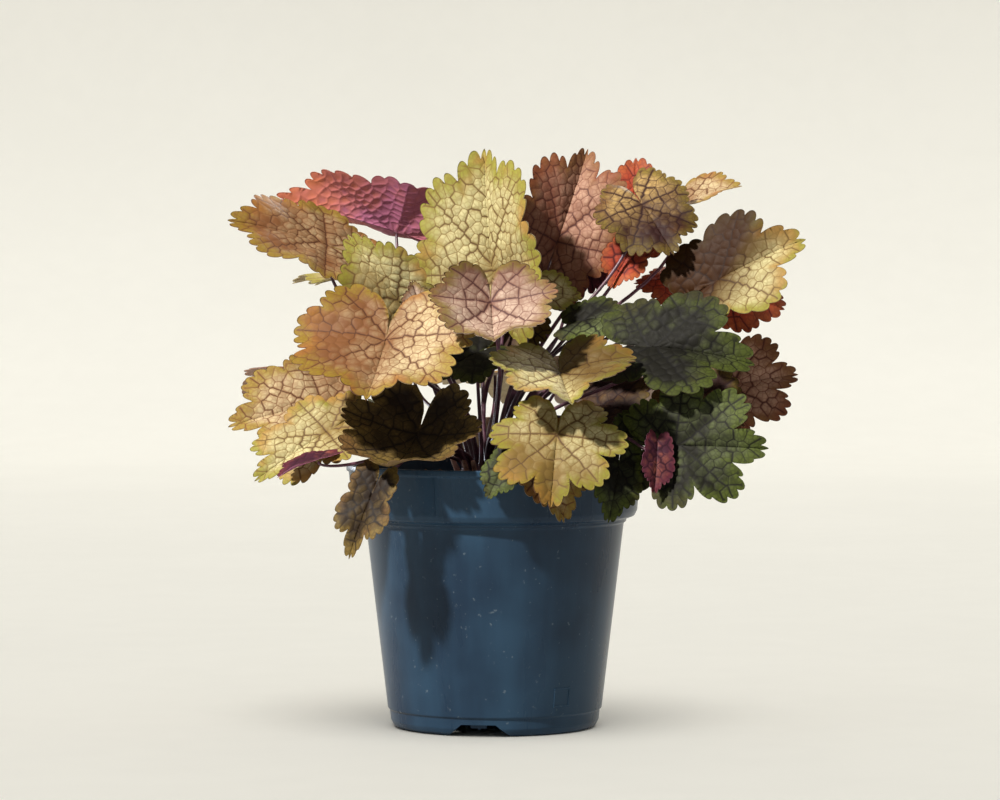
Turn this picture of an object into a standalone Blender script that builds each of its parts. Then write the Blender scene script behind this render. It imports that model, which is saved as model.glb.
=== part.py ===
"""Heuchera in a round nursery pot: the pot, its soil, the crown with its leaf stalks, and a blade for each leaf.

Metres, +Z up. The origin is the middle of the pot's underside. Lengths named here are in millimetres until MM
turns them into metres. The front of the plant looks along -Y.
"""

import itertools
import math
from dataclasses import dataclass

import bmesh
import bpy
import numpy as np
from mathutils import Matrix, Vector, noise
from mathutils.bvhtree import BVHTree
from mathutils.geometry import delaunay_2d_cdt

MM = 0.001
FIT_GAP = 0.3
MERGE_DISTANCE = 0.00001

# Pot, a standard 2 litre nursery container
POT_HEIGHT = 150.0
RIM_RADIUS = 85.0
RIM_LIP_HEIGHT = 3.5
COLLAR_RADIUS = 83.6
COLLAR_FOOT_RADIUS = 81.6
COLLAR_FOOT_Z = 124.0
BEAD_RADIUS = 75.4
BEAD_Z = 118.4
BODY_TOP_RADIUS = 73.9
BODY_TOP_Z = 116.6
BODY_FOOT_RADIUS = 61.3
BODY_FOOT_Z = 10.6
SKIRT_RADIUS = 60.2
WALL = 1.9
BASE_UNDERSIDE_Z = 7.0
BASE_PAD_RADIUS = 19.0
POT_SEGMENTS = 32
LIP_STEP = 0.5
COLLAR_STEP = (1.6, 3.2)  # inset and drop of the bevel under the collar
BEAD_EDGES = (0.6, -0.8)  # top and bottom edge of the bead from its middle
SKIRT_STEP = 0.8
FOOT_RING = ((0.6, 4.0), (2.0, 1.2), (3.6, 0.0), (5.2, 0.0))  # inset and height round the skirt's foot
FOOT_RING_DRAFT = 0.8
PAD_DRAFT = 1.2
FLOOR_BEVEL = (2.0, 4.0)  # reach and height of the bevel between floor and wall
COLLAR_INSIDE_STEP = (1.0, 2.0)

# Drainage notches in the skirt, drain holes and ribs under the base
NOTCH_COUNT = 3
NOTCH_FRONT_ANGLE = -99.0
NOTCH_FOOT_WIDTH = 35.0
NOTCH_TOP_WIDTH = 19.5
NOTCH_HEIGHT = 6.5
NOTCH_REACH = 16.0
NOTCH_BELOW = 1.0
DRAIN_COUNT = 6
DRAIN_RADIUS = 4.0
DRAIN_RING_RADIUS = 40.0
DRAIN_SEGMENTS = 10
RIB_COUNT = 6
RIB_THICKNESS = 1.6
RIB_DROP = 3.5

# Soil and crown
SOIL_TOP_Z = 139.0
SOIL_RELIEF = 1.6
SOIL_LUMPS_PER_METRE = 60.0
SOIL_EDGE = 1.0
SOIL_RINGS = (0.0, 0.3, 0.55, 0.8, 1.0)
CROWN_CENTRE = (-6.0, -4.0)
CROWN_HOLE_RADIUS = 17.0
CROWN_RADIUS = 16.4
CROWN_DEPTH = 30.0
CROWN_HEAD_Z = 149.0
CROWN_SEGMENTS = 18
CROWN_DOME = ((0.0, 2.0), (0.5, 1.0), (0.85, -2.5))  # share of the radius, height against the head
CROWN_COLLAR = 3.0
CROWN_FLOOR_GAP = 1.0
CROWN_FOOT_BEVEL = (0.7, 4.0)

# Leaf stalks
STALK_ROOT_RADIUS = 1.5
STALK_TIP_RADIUS = 1.0
STALK_RUNS = 4
STALK_NECK = 3.5
STALK_ROOT_SPREAD = 9.3
STALK_ROOT_DEPTH = 7.0
STALK_CLEARANCE = 2.1
STALK_SEAT = 0.95
STALK_PROBES = 10
STALK_ARCHES = (-0.1, 0.1, 0.3, -0.25)
STALK_SWINGS = (0.0, 0.1, -0.1, 0.2, -0.2, 0.32, -0.32)
STALK_LEANS = (0.0, 0.12, -0.12, 0.25, -0.25)
STALK_RISE = 0.45
STALK_APPROACH = 0.22
STALK_SWING_FADE = 0.5
RIM_BERTH = 5.0
OWN_BLADE_BERTH = 6.0
SEARCH_MARGIN = 2.0

# Blades
BLADE_THICKNESS = 0.7
BLADE_CLEARANCE = 1.5
SETTLE_ROUNDS = 60
LARGEST_NUDGE = 3.0
PARTING_MARGIN = 1.2
CHEAP_DEPTH = 0.6
PHASE_STEP = 2.4
RIPPLES = ((3, 1.0, 1.0), (5, 0.6, 2.3))  # waves round the blade, strength, share of the phase
SMALLEST_BEND = 0.1

LOBE_ANGLES = {7: (0.0, 43.0, 87.0, 133.0), 5: (0.0, 55.0, 118.0)}
LOBE_REACH = {7: (1.0, 0.97, 0.88, 0.76), 5: (1.0, 0.93, 0.76)}
VALLEY_SHARE = 0.82
TOOTH_STEPS = ((0.24, 0.94), (0.52, 0.965))
SINUS_ANGLE = 169.0
SINUS_REACH = 0.34
SINUS_APEX = 0.07
VEIN_SHARES = (0.36, 0.70)
VALLEY_VEIN_SHARE = 0.55
MIDRIB_ROUNDING = 0.06


@dataclass(frozen=True)
class Leaf:
    """One leaf. Places are millimetres and angles are degrees."""

    name: str
    hub: tuple  # where the stalk meets the blade
    tip: tuple  # end of the middle lobe
    face: tuple  # where the upper side looks
    colour: str
    width: float = 1.0  # spread of the side lobes against the length
    lobes: int = 7
    fold: float = 12.0  # lift of each half about the midrib
    droop: float = 25.0  # bend of the midrib from hub to tip
    curl: float = 25.0  # bend of each half from the midrib outwards
    wave: float = 2.5  # height of the ripple at the margin


LEAVES = (
    Leaf("upper_left", (-96, -12, 275), (-151, -26, 289), (0, -3, 4), "amber", 0.74, 7, 6, 15, 8, 2.5),
    Leaf("top_left_under", (-56, 30, 284), (-128, 22, 303), (0, 1, 2), "plum", 0.62, 7, 25, 10, 10, 2.5),
    Leaf("behind_left", (-53, -36, 242), (-83, -38, 281), (-1, -3, 1), "lime", 0.66, 5, 15, 20, 15, 2.0),
    Leaf("big_left", (-60, -75, 223), (-70, -115, 190), (-1, -6, 5), "amber", 1.2, 7, 14, -15, 10, 3.0),
    Leaf("top_centre", (-1, -8, 260), (-6, 2, 330), (-3, -5, 0), "lime", 0.8, 7, 28, 15, 15, 3.0),
    Leaf("top_right", (36, 15, 277), (54, 28, 331), (1, -5, 1), "copper", 0.78, 7, 26, 15, 15, 3.0),
    Leaf("right_crest", (84, -8, 298), (101, -34, 269), (0, -2, 1), "bronze", 0.85, 7, 10, 20, 20, 2.5),
    Leaf("crest_side", (109, 18, 299), (142, 8, 309), (0, -1, 2), "amber", 0.7, 5, 15, 15, 15, 2.0),
    Leaf("crest_behind", (81, 55, 290), (83, 66, 327), (0, -3, 1), "coral", 0.9, 5, 10, 15, 20, 2.0),
    Leaf("far_right", (126, -30, 255), (175, -36, 278), (0, -3, 2), "lime", 0.86, 5, 16, 20, 20, 3.5),
    Leaf("far_right_under", (133, 22, 256), (168, 26, 238), (0, -2, -1), "coral", 0.8, 5, 10, 20, 15, 2.5),
    Leaf("right_folded", (113, 12, 257), (80, 18, 253), (0, -3, 2), "coral", 0.75, 5, -30, 10, 10, 1.0),
    Leaf("right_inner_orange", (78, 2, 272), (66, -2, 250), (0, -2, 1), "coral", 0.72, 5, 10, 20, 15, 2.0),
    Leaf("right_inner_plum", (62, 30, 281), (34, 34, 252), (0, -2, 1), "plum", 0.92, 7, 15, 20, 20, 2.5),
    Leaf("centre", (-2, -82, 243), (0, -114, 222), (0, -6, 5), "cream", 1.15, 7, 24, -55, 5, 2.0),
    Leaf("centre_lime", (25, -8, 248), (50, -4, 245), (0, -2, 2), "lime", 0.8, 5, 10, 15, 15, 1.5),
    Leaf("centre_brown", (50, -30, 232), (77, -41, 235), (0, -2, 2), "dark", 0.8, 5, 10, 20, 20, 2.0),
    Leaf("centre_cup", (36, -84, 204), (42, -124, 188), (0, -3, 4), "lime", 1.18, 7, 22, -15, 15, 2.5),
    Leaf("front", (34, -98, 170), (30, -116, 131), (0, -3, 2), "lime", 1.08, 7, 6, 15, 20, 2.5),
    Leaf("front_orange", (26, -84, 158), (38, -96, 122), (1, -3, 1), "amber", 0.75, 5, 28, 15, 15, 2.0),
    Leaf("rim_right", (68, -86, 153), (62, -98, 122), (1, -3, 1), "dark", 0.62, 5, 10, 15, 20, 1.5),
    Leaf("rim_small", (6, -92, 154), (-4, -98, 135), (-1, -3, 1), "dark", 0.7, 5, 10, 15, 20, 1.0),
    Leaf("front_left_cup", (-43, -62, 164), (-62, -108, 150), (0, -1, 3), "olive", 0.98, 7, 10, -60, -25, 2.0),
    Leaf("low_left_amber", (-98, -6, 184), (-151, -20, 172), (-1, -3, 2), "amber", 0.8, 7, 14, 15, 15, 3.0),
    Leaf("low_left_green", (-94, -48, 170), (-134, -60, 143), (-1, -3, 2), "lime", 0.68, 7, 12, 15, 15, 2.0),
    Leaf("low_left_plum", (-98, -73, 156), (-120, -80, 146), (1, 0, 3), "plum", 0.6, 5, 15, 15, 15, 1.0),
    Leaf("left_dark", (-52, -24, 168), (-82, -30, 176), (0, -2, 3), "dark", 0.85, 7, 10, 15, 15, 2.0),
    Leaf("hang_left", (-68, -90, 142), (-80, -98, 108), (-1, -3, 1), "olive", 0.64, 5, 15, 15, 15, 1.5),
    Leaf("right_green", (87, -62, 218), (144, -72, 208), (0, -3, 2), "dark", 0.8, 5, 16, 20, 20, 3.0),
    Leaf("right_brown", (131, -5, 194), (174, 0, 201), (0, -3, 1), "copper", 0.9, 7, 12, 20, 20, 2.5),
    Leaf("low_right_green", (100, -84, 164), (150, -98, 163), (0, -4, 1), "dark", 0.92, 7, 10, 20, 15, 3.0),
    Leaf("low_right_brown", (113, -6, 190), (142, -16, 172), (0, -3, 1), "bronze", 0.85, 5, 10, 20, 20, 2.0),
    Leaf("low_right_plum", (89, -92, 160), (87, -99, 138), (1, -3, 0), "plum", 0.6, 5, 20, 15, 15, 1.0),
    Leaf("low_right_small", (82, -66, 172), (62, -72, 168), (0, -3, 2), "dark", 0.8, 5, 15, 15, 15, 1.0),
    Leaf("right_inner_dark", (60, -16, 184), (90, -32, 176), (0, -3, 2), "bronze", 0.9, 5, 10, 15, 15, 2.0),
    Leaf("inner_dark_left", (-10, -34, 214), (-36, -44, 199), (-1, -3, 2), "dark", 0.9, 5, 10, 15, 15, 1.5),
    Leaf("inner_dark_centre", (8, 8, 236), (4, -12, 206), (0, -3, 1), "bronze", 0.9, 5, 10, 15, 15, 1.5),
    Leaf("young_left", (-42, -54, 239), (-46, -56, 255), (0, -3, 1), "cream", 0.8, 5, 20, 10, 15, 0.8),
    Leaf("back_centre", (-6, 62, 284), (-12, 108, 298), (0, 1, 3), "amber", 0.95, 7, 10, 30, 25, 3.0),
    Leaf("back_right", (42, 84, 254), (68, 132, 254), (0, 1, 2), "bronze", 0.92, 7, 12, 30, 25, 3.0),
    Leaf("back_left", (-70, 62, 255), (-108, 106, 252), (-1, 1, 2), "lime", 0.95, 7, 12, 30, 25, 3.0),
    Leaf("back_low_left", (-98, 35, 200), (-146, 58, 186), (-2, 1, 2), "copper", 0.95, 5, 12, 30, 25, 3.0),
    Leaf("back_low_right", (98, 50, 205), (146, 76, 196), (2, 1, 2), "dark", 0.95, 7, 12, 30, 25, 3.0),
    Leaf("back_low", (0, 88, 200), (5, 142, 180), (0, 2, 2), "amber", 1.0, 7, 12, 30, 25, 3.0),
    Leaf("back_middle_left", (-50, 92, 205), (-78, 136, 182), (-1, 2, 2), "lime", 0.95, 7, 12, 30, 25, 3.0),
    Leaf("back_middle_right", (60, 98, 192), (84, 136, 164), (1, 2, 2), "cream", 0.9, 5, 12, 30, 25, 3.0),
    Leaf("back_hanging", (-20, 85, 160), (-30, 108, 124), (0, 3, 1), "olive", 0.8, 5, 12, 25, 20, 2.0),
)

BLADE_COLOURS = {
    "amber": (0.52, 0.28, 0.07),
    "lime": (0.50, 0.42, 0.12),
    "cream": (0.58, 0.43, 0.24),
    "copper": (0.30, 0.12, 0.06),
    "bronze": (0.16, 0.09, 0.05),
    "coral": (0.42, 0.09, 0.06),
    "plum": (0.16, 0.05, 0.08),
    "olive": (0.20, 0.13, 0.04),
    "dark": (0.05, 0.06, 0.03),
}


def clear_scene():
    """Removes every object that the scene starts with."""
    for item in list(bpy.data.objects):
        bpy.data.objects.remove(item, do_unlink=True)


def new_collection(name):
    made = bpy.data.collections.new(name)
    bpy.context.scene.collection.children.link(made)
    return made


def material(name, colour, roughness, metallic=0.0):
    """A Principled material."""
    made = bpy.data.materials.new(name)
    made.use_nodes = True
    shader = made.node_tree.nodes["Principled BSDF"]
    shader.inputs["Base Color"].default_value = (*colour, 1.0)
    shader.inputs["Roughness"].default_value = roughness
    shader.inputs["Metallic"].default_value = metallic
    made.diffuse_color = (*colour, 1.0)
    return made


def add_object(name, mesh, collection, finish=None):
    made = bpy.data.objects.new(name, mesh)
    collection.objects.link(made)
    if finish:
        mesh.materials.append(finish)
    return made


def polar(radius, angle):
    """X and Y of a point at this radius, the angle in degrees from +X."""
    return radius * math.cos(math.radians(angle)), radius * math.sin(math.radians(angle))


def turned(name, profile, segments, collection, finish):
    """A solid of revolution about Z. The profile is (radius, z) pairs in millimetres, from inside to outside."""
    mesh = bpy.data.meshes.new(name)
    points = [(radius * MM, 0.0, z * MM) for radius, z in profile]
    edges = [(i, i + 1) for i in range(len(points) - 1)]
    mesh.from_pydata(points, edges, [])
    made = add_object(name, mesh, collection, finish)
    screw = made.modifiers.new("turn", "SCREW")
    screw.axis = "Z"
    screw.steps = segments
    screw.render_steps = segments
    screw.use_merge_vertices = True
    screw.merge_threshold = MERGE_DISTANCE
    screw.use_smooth_shade = True
    return made


def apply_modifiers(item):
    """Replaces an object's mesh by the one that its modifiers make."""
    graph = bpy.context.evaluated_depsgraph_get()
    mesh = bpy.data.meshes.new_from_object(item.evaluated_get(graph))
    item.modifiers.clear()
    item.data = mesh


def boolean(item, operation, collection, solver="EXACT"):
    """Joins or cuts an object with every object of a collection."""
    step = item.modifiers.new(operation.lower(), "BOOLEAN")
    step.operation = operation
    step.operand_type = "COLLECTION"
    step.collection = collection
    step.solver = solver


def as_cutters(collection):
    for item in collection.objects:
        item.hide_render = True
        item.display_type = "WIRE"


def inner_wall(offset=0.0):
    """The pot's inner profile from the middle of its floor to the rim, moved into the pot by an offset."""
    floor = BASE_UNDERSIDE_Z + WALL + offset
    well = WALL + offset
    step_in, step_down = COLLAR_INSIDE_STEP
    bevel_reach, bevel_height = FLOOR_BEVEL
    return [
        (0.0, well),
        (BASE_PAD_RADIUS - well, well),
        (BASE_PAD_RADIUS + PAD_DRAFT / 2 - offset, floor),
        (BODY_FOOT_RADIUS - well - bevel_reach, floor),
        (BODY_FOOT_RADIUS - well + PAD_DRAFT / 2, floor + bevel_height),
        (BODY_TOP_RADIUS - well, BODY_TOP_Z + offset),
        (COLLAR_FOOT_RADIUS - well - step_in, COLLAR_FOOT_Z - step_down + offset),
        (COLLAR_RADIUS - well, POT_HEIGHT - RIM_LIP_HEIGHT),
    ]


def make_pot(collection, cutters, ribs):
    """The pot as one turned shell, its skirt notched and its base drilled and ribbed."""
    outer = [
        (RIM_RADIUS - WALL, POT_HEIGHT),
        (RIM_RADIUS, POT_HEIGHT),
        (RIM_RADIUS, POT_HEIGHT - RIM_LIP_HEIGHT),
        (COLLAR_RADIUS, POT_HEIGHT - RIM_LIP_HEIGHT - LIP_STEP),
        (COLLAR_FOOT_RADIUS, COLLAR_FOOT_Z),
        (COLLAR_FOOT_RADIUS - COLLAR_STEP[0], COLLAR_FOOT_Z - COLLAR_STEP[1]),
        (BEAD_RADIUS, BEAD_Z + BEAD_EDGES[0]),
        (BEAD_RADIUS, BEAD_Z + BEAD_EDGES[1]),
        (BODY_TOP_RADIUS, BODY_TOP_Z),
        (BODY_FOOT_RADIUS, BODY_FOOT_Z),
        (SKIRT_RADIUS, BODY_FOOT_Z - SKIRT_STEP),
        *((SKIRT_RADIUS - inset, height) for inset, height in FOOT_RING),
        (SKIRT_RADIUS - FOOT_RING[-1][0] + FOOT_RING_DRAFT, BASE_UNDERSIDE_Z),
        (BASE_PAD_RADIUS + PAD_DRAFT, BASE_UNDERSIDE_Z),
        (BASE_PAD_RADIUS, 0.0),
        (0.0, 0.0),
    ]
    plastic = material("pot_plastic", (0.035, 0.07, 0.11), 0.4)
    pot = turned("pot", inner_wall() + outer, POT_SEGMENTS, collection, plastic)
    for index in range(RIB_COUNT):
        angle = NOTCH_FRONT_ANGLE + index * 360.0 / RIB_COUNT
        inside = BASE_PAD_RADIUS + PAD_DRAFT / 3
        reach = SKIRT_RADIUS - FOOT_RING[2][0] - inside
        add_box(
            f"rib_{index}",
            (reach, RIB_THICKNESS, RIB_DROP + WALL / 2),
            (*polar(inside + reach / 2, angle), BASE_UNDERSIDE_Z + (WALL / 2 - RIB_DROP) / 2),
            angle,
            ribs,
        )
    for index in range(NOTCH_COUNT):
        add_notch(index, NOTCH_FRONT_ANGLE + index * 360.0 / NOTCH_COUNT, cutters)
    for index in range(DRAIN_COUNT):
        angle = NOTCH_FRONT_ANGLE + (index + 0.5) * 360.0 / DRAIN_COUNT
        add_drain(index, angle, cutters)
    boolean(pot, "UNION", ribs)
    boolean(pot, "DIFFERENCE", cutters)
    apply_modifiers(pot)
    return pot


def add_box(name, size, centre, angle, collection):
    """A box with its first side along a direction at this angle."""
    shape = bmesh.new()
    place = Matrix.Translation(Vector(centre) * MM) @ Matrix.Rotation(math.radians(angle), 4, "Z")
    bmesh.ops.create_cube(shape, size=1.0, matrix=place @ Matrix.Diagonal((*(s * MM for s in size), 1.0)))
    mesh = bpy.data.meshes.new(name)
    shape.to_mesh(mesh)
    shape.free()
    return add_object(name, mesh, collection)


def add_notch(index, angle, collection):
    """A cutter for one notch: a flat outline stood up and pushed through the skirt."""
    slope = (NOTCH_FOOT_WIDTH - NOTCH_TOP_WIDTH) / 2 / NOTCH_HEIGHT
    foot = NOTCH_FOOT_WIDTH / 2 + slope * NOTCH_BELOW
    top = NOTCH_TOP_WIDTH / 2
    outline = ((-foot, -NOTCH_BELOW), (foot, -NOTCH_BELOW), (top, NOTCH_HEIGHT), (-top, NOTCH_HEIGHT))
    shape = bmesh.new()
    face = shape.faces.new([shape.verts.new((0.0, u * MM, z * MM)) for u, z in outline])
    pushed = bmesh.ops.extrude_face_region(shape, geom=[face])["geom"]
    moved = [part for part in pushed if isinstance(part, bmesh.types.BMVert)]
    bmesh.ops.translate(shape, verts=moved, vec=(NOTCH_REACH * MM, 0.0, 0.0))
    bmesh.ops.recalc_face_normals(shape, faces=shape.faces)
    mesh = bpy.data.meshes.new(f"notch_{index}")
    shape.to_mesh(mesh)
    shape.free()
    cutter = add_object(f"notch_{index}", mesh, collection)
    inside = SKIRT_RADIUS - NOTCH_REACH / 2
    cutter.location = (*(part * MM for part in polar(inside, angle)), 0.0)
    cutter.rotation_euler.z = math.radians(angle)


def add_drain(index, angle, collection):
    """A cutter for one drain hole."""
    bpy.ops.mesh.primitive_cylinder_add(
        vertices=DRAIN_SEGMENTS,
        radius=DRAIN_RADIUS * MM,
        depth=WALL * 3 * MM,
        location=[part * MM for part in (*polar(DRAIN_RING_RADIUS, angle), BASE_UNDERSIDE_Z + WALL / 2)],
    )
    move_to(bpy.context.object, f"drain_{index}", collection)


def move_to(item, name, collection):
    """Names an object that an operator made and moves it to a collection."""
    item.name = name
    for holder in list(item.users_collection):
        holder.objects.unlink(item)
    collection.objects.link(item)


def make_soil(collection, cutters):
    """The soil: it fills the pot, its top is uneven, and a plain hole takes the crown."""
    side = inner_wall(FIT_GAP)
    collar_foot, rim = side[-2:]
    rise = (SOIL_TOP_Z - collar_foot[1]) / (rim[1] - collar_foot[1])
    top_radius = collar_foot[0] + rise * (rim[0] - collar_foot[0])
    rings = [(top_radius * share, SOIL_TOP_Z) for share in SOIL_RINGS]
    profile = rings + list(reversed(side[:-1]))
    soil = turned("soil", profile, POT_SEGMENTS, collection, material("soil_peat", (0.035, 0.022, 0.014), 0.95))
    apply_modifiers(soil)
    for vertex in soil.data.vertices:
        radius = math.hypot(vertex.co.x, vertex.co.y) / MM
        if vertex.co.z > (SOIL_TOP_Z - SOIL_EDGE) * MM and radius < top_radius - SOIL_EDGE:
            vertex.co.z += SOIL_RELIEF * MM * noise.noise(vertex.co * SOIL_LUMPS_PER_METRE)
    bpy.ops.mesh.primitive_cylinder_add(
        vertices=CROWN_SEGMENTS,
        radius=CROWN_HOLE_RADIUS * MM,
        depth=2 * CROWN_DEPTH * MM,
        location=[part * MM for part in (*CROWN_CENTRE, SOIL_TOP_Z)],
    )
    move_to(bpy.context.object, "crown_hole", cutters)
    boolean(soil, "DIFFERENCE", cutters)
    apply_modifiers(soil)
    return soil


def leaf_outline(lobes):
    """The margin of a flat blade of unit length: (angle from the tip, reach) all the way round."""
    angles = LOBE_ANGLES[lobes]
    reaches = LOBE_REACH[lobes]
    side = []
    for index, (angle, reach) in enumerate(zip(angles, reaches)):
        last = index == len(angles) - 1
        ahead = SINUS_ANGLE if last else (angle + angles[index + 1]) / 2
        behind = angle - (angles[index - 1] + angle) / 2 if index else 0.0
        if index:
            for step, share in reversed(TOOTH_STEPS):
                side.append((angle - step * behind, reach * share))
        side.append((angle, reach))
        for step, share in TOOTH_STEPS:
            side.append((angle + step * (ahead - angle), reach * share))
        if last:
            side.append((SINUS_ANGLE, SINUS_REACH))
        else:
            side.append((ahead, VALLEY_SHARE * (reach + reaches[index + 1]) / 2))
    other = [(-angle, reach) for angle, reach in reversed(side[1:])]
    return side + [(180.0, SINUS_APEX)] + other


def vein_points(lobes):
    """Points inside a flat blade, along the veins to its lobes and its valleys."""
    angles = LOBE_ANGLES[lobes]
    reaches = LOBE_REACH[lobes]
    inside = [(0.0, 0.0)]
    for index, (angle, reach) in enumerate(zip(angles, reaches)):
        for sign in (-1, 1) if angle else (1,):
            inside += [(sign * angle, reach * share) for share in VEIN_SHARES]
            if index and lobes == 7:
                valley = VALLEY_SHARE * (reach + reaches[index - 1]) / 2
                inside.append((sign * (angle + angles[index - 1]) / 2, valley * VALLEY_VEIN_SHARE))
    return inside


def flat_blade(lobes, width):
    """The flat blade as points (across, along) and triangles."""
    spots = leaf_outline(lobes) + vein_points(lobes)
    points = []
    for angle, reach in spots:
        along, across = polar(reach, angle)
        points.append(Vector((across * width, along)))
    edge = len(leaf_outline(lobes))
    border = [(i, (i + 1) % edge) for i in range(edge)]
    found, _, faces, _, _, _ = delaunay_2d_cdt(points, border, [], 1, 1e-6)
    return found, faces


def bent(across, along, leaf, phase):
    """Where a point of the flat unit blade goes once the blade folds, curls, droops and ripples."""
    reach = math.hypot(across, along)
    angle = math.atan2(across, along)
    fold = math.radians(leaf.fold)
    curl = math.radians(leaf.curl or SMALLEST_BEND)
    droop = math.radians(leaf.droop or SMALLEST_BEND)
    out = math.sqrt(across * across + MIDRIB_ROUNDING**2) - MIDRIB_ROUNDING
    side = (math.sin(fold) - math.sin(fold - curl * out)) / curl
    lift = (math.cos(fold - curl * out) - math.cos(fold)) / curl
    ripple = sum(strength * math.sin(count * angle + share * phase) for count, strength, share in RIPPLES)
    lift += leaf.wave / blade_length(leaf) * reach * reach * ripple
    turn = droop * along
    forward = math.sin(turn) / droop + lift * math.sin(turn)
    up = lift * math.cos(turn) - (1 - math.cos(turn)) / droop
    return Vector((math.copysign(side, across), forward, up))


def blade_length(leaf):
    return (Vector(leaf.tip) - Vector(leaf.hub)).length


def blade_frame(leaf, phase):
    """The matrix that takes the bent unit blade to its place, so that its tip and hub meet theirs."""
    forward = (Vector(leaf.tip) - Vector(leaf.hub)).normalized()
    normal = Vector(leaf.face)
    normal = (normal - forward * normal.dot(forward)).normalized()
    side = forward.cross(normal)
    tip = bent(0.0, 1.0, leaf, phase)
    tilt = Matrix.Rotation(-math.atan2(tip.z, tip.y), 3, "X")
    scale = blade_length(leaf) / math.hypot(tip.y, tip.z)
    axes = Matrix((side, forward, normal)).transposed()
    return axes @ tilt * scale


class Blade:
    """The mid surface of one leaf's blade, in millimetres, and the shell that keeps others away from it."""

    def __init__(self, leaf, index):
        self.leaf = leaf
        phase = PHASE_STEP * index
        flat, self.faces = flat_blade(leaf.lobes, leaf.width)
        place = blade_frame(leaf, phase)
        self.points = [Vector(leaf.hub) + place @ bent(p.x, p.y, leaf, phase) for p in flat]
        self.normal = (place @ Vector((0.0, 0.0, 1.0))).normalized()
        self.hub = Vector(leaf.hub)
        self.refresh()

    def refresh(self):
        """Rebuilds the search trees after a move."""
        self.sheet = BVHTree.FromPolygons(self.points, self.faces)
        normals = self.vertex_normals()
        above = [p + n * BLADE_CLEARANCE / 2 for p, n in zip(self.points, normals)]
        below = [p - n * BLADE_CLEARANCE / 2 for p, n in zip(self.points, normals)]
        count = len(self.points)
        lower = [tuple(i + count for i in face) for face in self.faces]
        self.shell = BVHTree.FromPolygons(above + below, list(self.faces) + lower)
        corners = np.array(self.points)
        self.low = corners.min(axis=0) - BLADE_CLEARANCE
        self.high = corners.max(axis=0) + BLADE_CLEARANCE

    def vertex_normals(self):
        totals = [Vector() for _ in self.points]
        for face in self.faces:
            a, b, c = (self.points[i] for i in face)
            normal = (b - a).cross(c - a)
            for i in face:
                totals[i] += normal
        return [total.normalized() for total in totals]

    def move(self, step):
        self.points = [p + step for p in self.points]
        self.hub = self.hub + step
        self.refresh()

    def near(self, other):
        return bool((self.low < other.high).all() and (other.low < self.high).all())

    def reaches(self, point):
        """Whether a point lies in or beside the box that holds the blade."""
        spot = np.array(point)
        return bool((spot > self.low - SEARCH_MARGIN).all() and (spot < self.high + SEARCH_MARGIN).all())

    def crosses(self, other):
        return self.near(other) and bool(self.shell.overlap(other.shell))


def gaps_along(first, second, direction):
    """How far the second sheet lies past the first along a direction, at each point where both are met."""
    found = []
    for sheet, others, sign in ((first.sheet, second.points, 1), (second.sheet, first.points, -1)):
        for point in others:
            for way in (direction, -direction):
                hit = sheet.ray_cast(point, way)[0]
                if hit:
                    found.append(sign * (point - hit).dot(direction))
    return found


def parting_step(first, second):
    """The smallest move of the second blade that parts it from the first. Depth costs less than other ways."""
    best = None
    for direction, price in (
        (Vector((0.0, 1.0, 0.0)), CHEAP_DEPTH),
        (Vector((0.0, 0.0, 1.0)), 1.0),
        (first.normal, 1.0),
        (second.normal, 1.0),
    ):
        gaps = gaps_along(first, second, direction)
        if not gaps:
            continue
        berth = BLADE_CLEARANCE * PARTING_MARGIN
        for push in (berth - min(gaps), -berth - max(gaps)):
            if best is None or abs(push) * price < best[0]:
                best = (abs(push) * price, direction * push)
    if best is None:
        return (second.hub - first.hub).normalized()
    return best[1]


def settle(blades):
    """Nudges blades apart until none crosses another."""
    for _ in range(SETTLE_ROUNDS):
        moved = False
        for index, first in enumerate(blades):
            for second in blades[index + 1 :]:
                if first.crosses(second):
                    step = parting_step(first, second)
                    step *= min(1.0, LARGEST_NUDGE / step.length) / 2
                    second.move(step)
                    first.move(-step)
                    moved = True
        if not moved:
            break


def make_blade(blade, collection, finish):
    """The blade as a thin shell on its mid surface."""
    name = f"leaf_{blade.leaf.name}"
    mesh = bpy.data.meshes.new(name)
    mesh.from_pydata([p * MM for p in blade.points], [], blade.faces)
    mesh.shade_smooth()
    made = add_object(name, mesh, collection, finish)
    thick = made.modifiers.new("thickness", "SOLIDIFY")
    thick.thickness = BLADE_THICKNESS * MM
    thick.offset = 0.0
    return made


def stalk_route(blade, index, count, arch, lean, swing):
    """Points of one stalk from the crown to its blade, bowed upwards, outwards and sideways."""
    seat = blade.hub - blade.normal * STALK_SEAT
    end = seat - blade.normal * STALK_NECK
    ring = math.sqrt((index + 0.5) / count) * STALK_ROOT_SPREAD
    heading = Vector((end.x - CROWN_CENTRE[0], end.y - CROWN_CENTRE[1], 0.0)).normalized()
    start = Vector((*CROWN_CENTRE, CROWN_HEAD_Z - STALK_ROOT_DEPTH)) + heading * ring
    span = (end - start).length
    sideways = Vector((-heading.y, heading.x, 0.0))
    bow = sideways * swing * span
    first = start + Vector((0.0, 0.0, STALK_RISE * span)) + heading * lean * span + bow
    last = end - blade.normal * STALK_APPROACH * span + Vector((0.0, 0.0, arch * span)) + bow * STALK_SWING_FADE
    steps = [step / STALK_RUNS for step in range(STALK_RUNS + 1)]
    bowed = [
        start * (1 - t) ** 3 + first * 3 * t * (1 - t) ** 2 + last * 3 * t * t * (1 - t) + end * t**3
        for t in steps
    ]
    return bowed + [seat]


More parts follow.
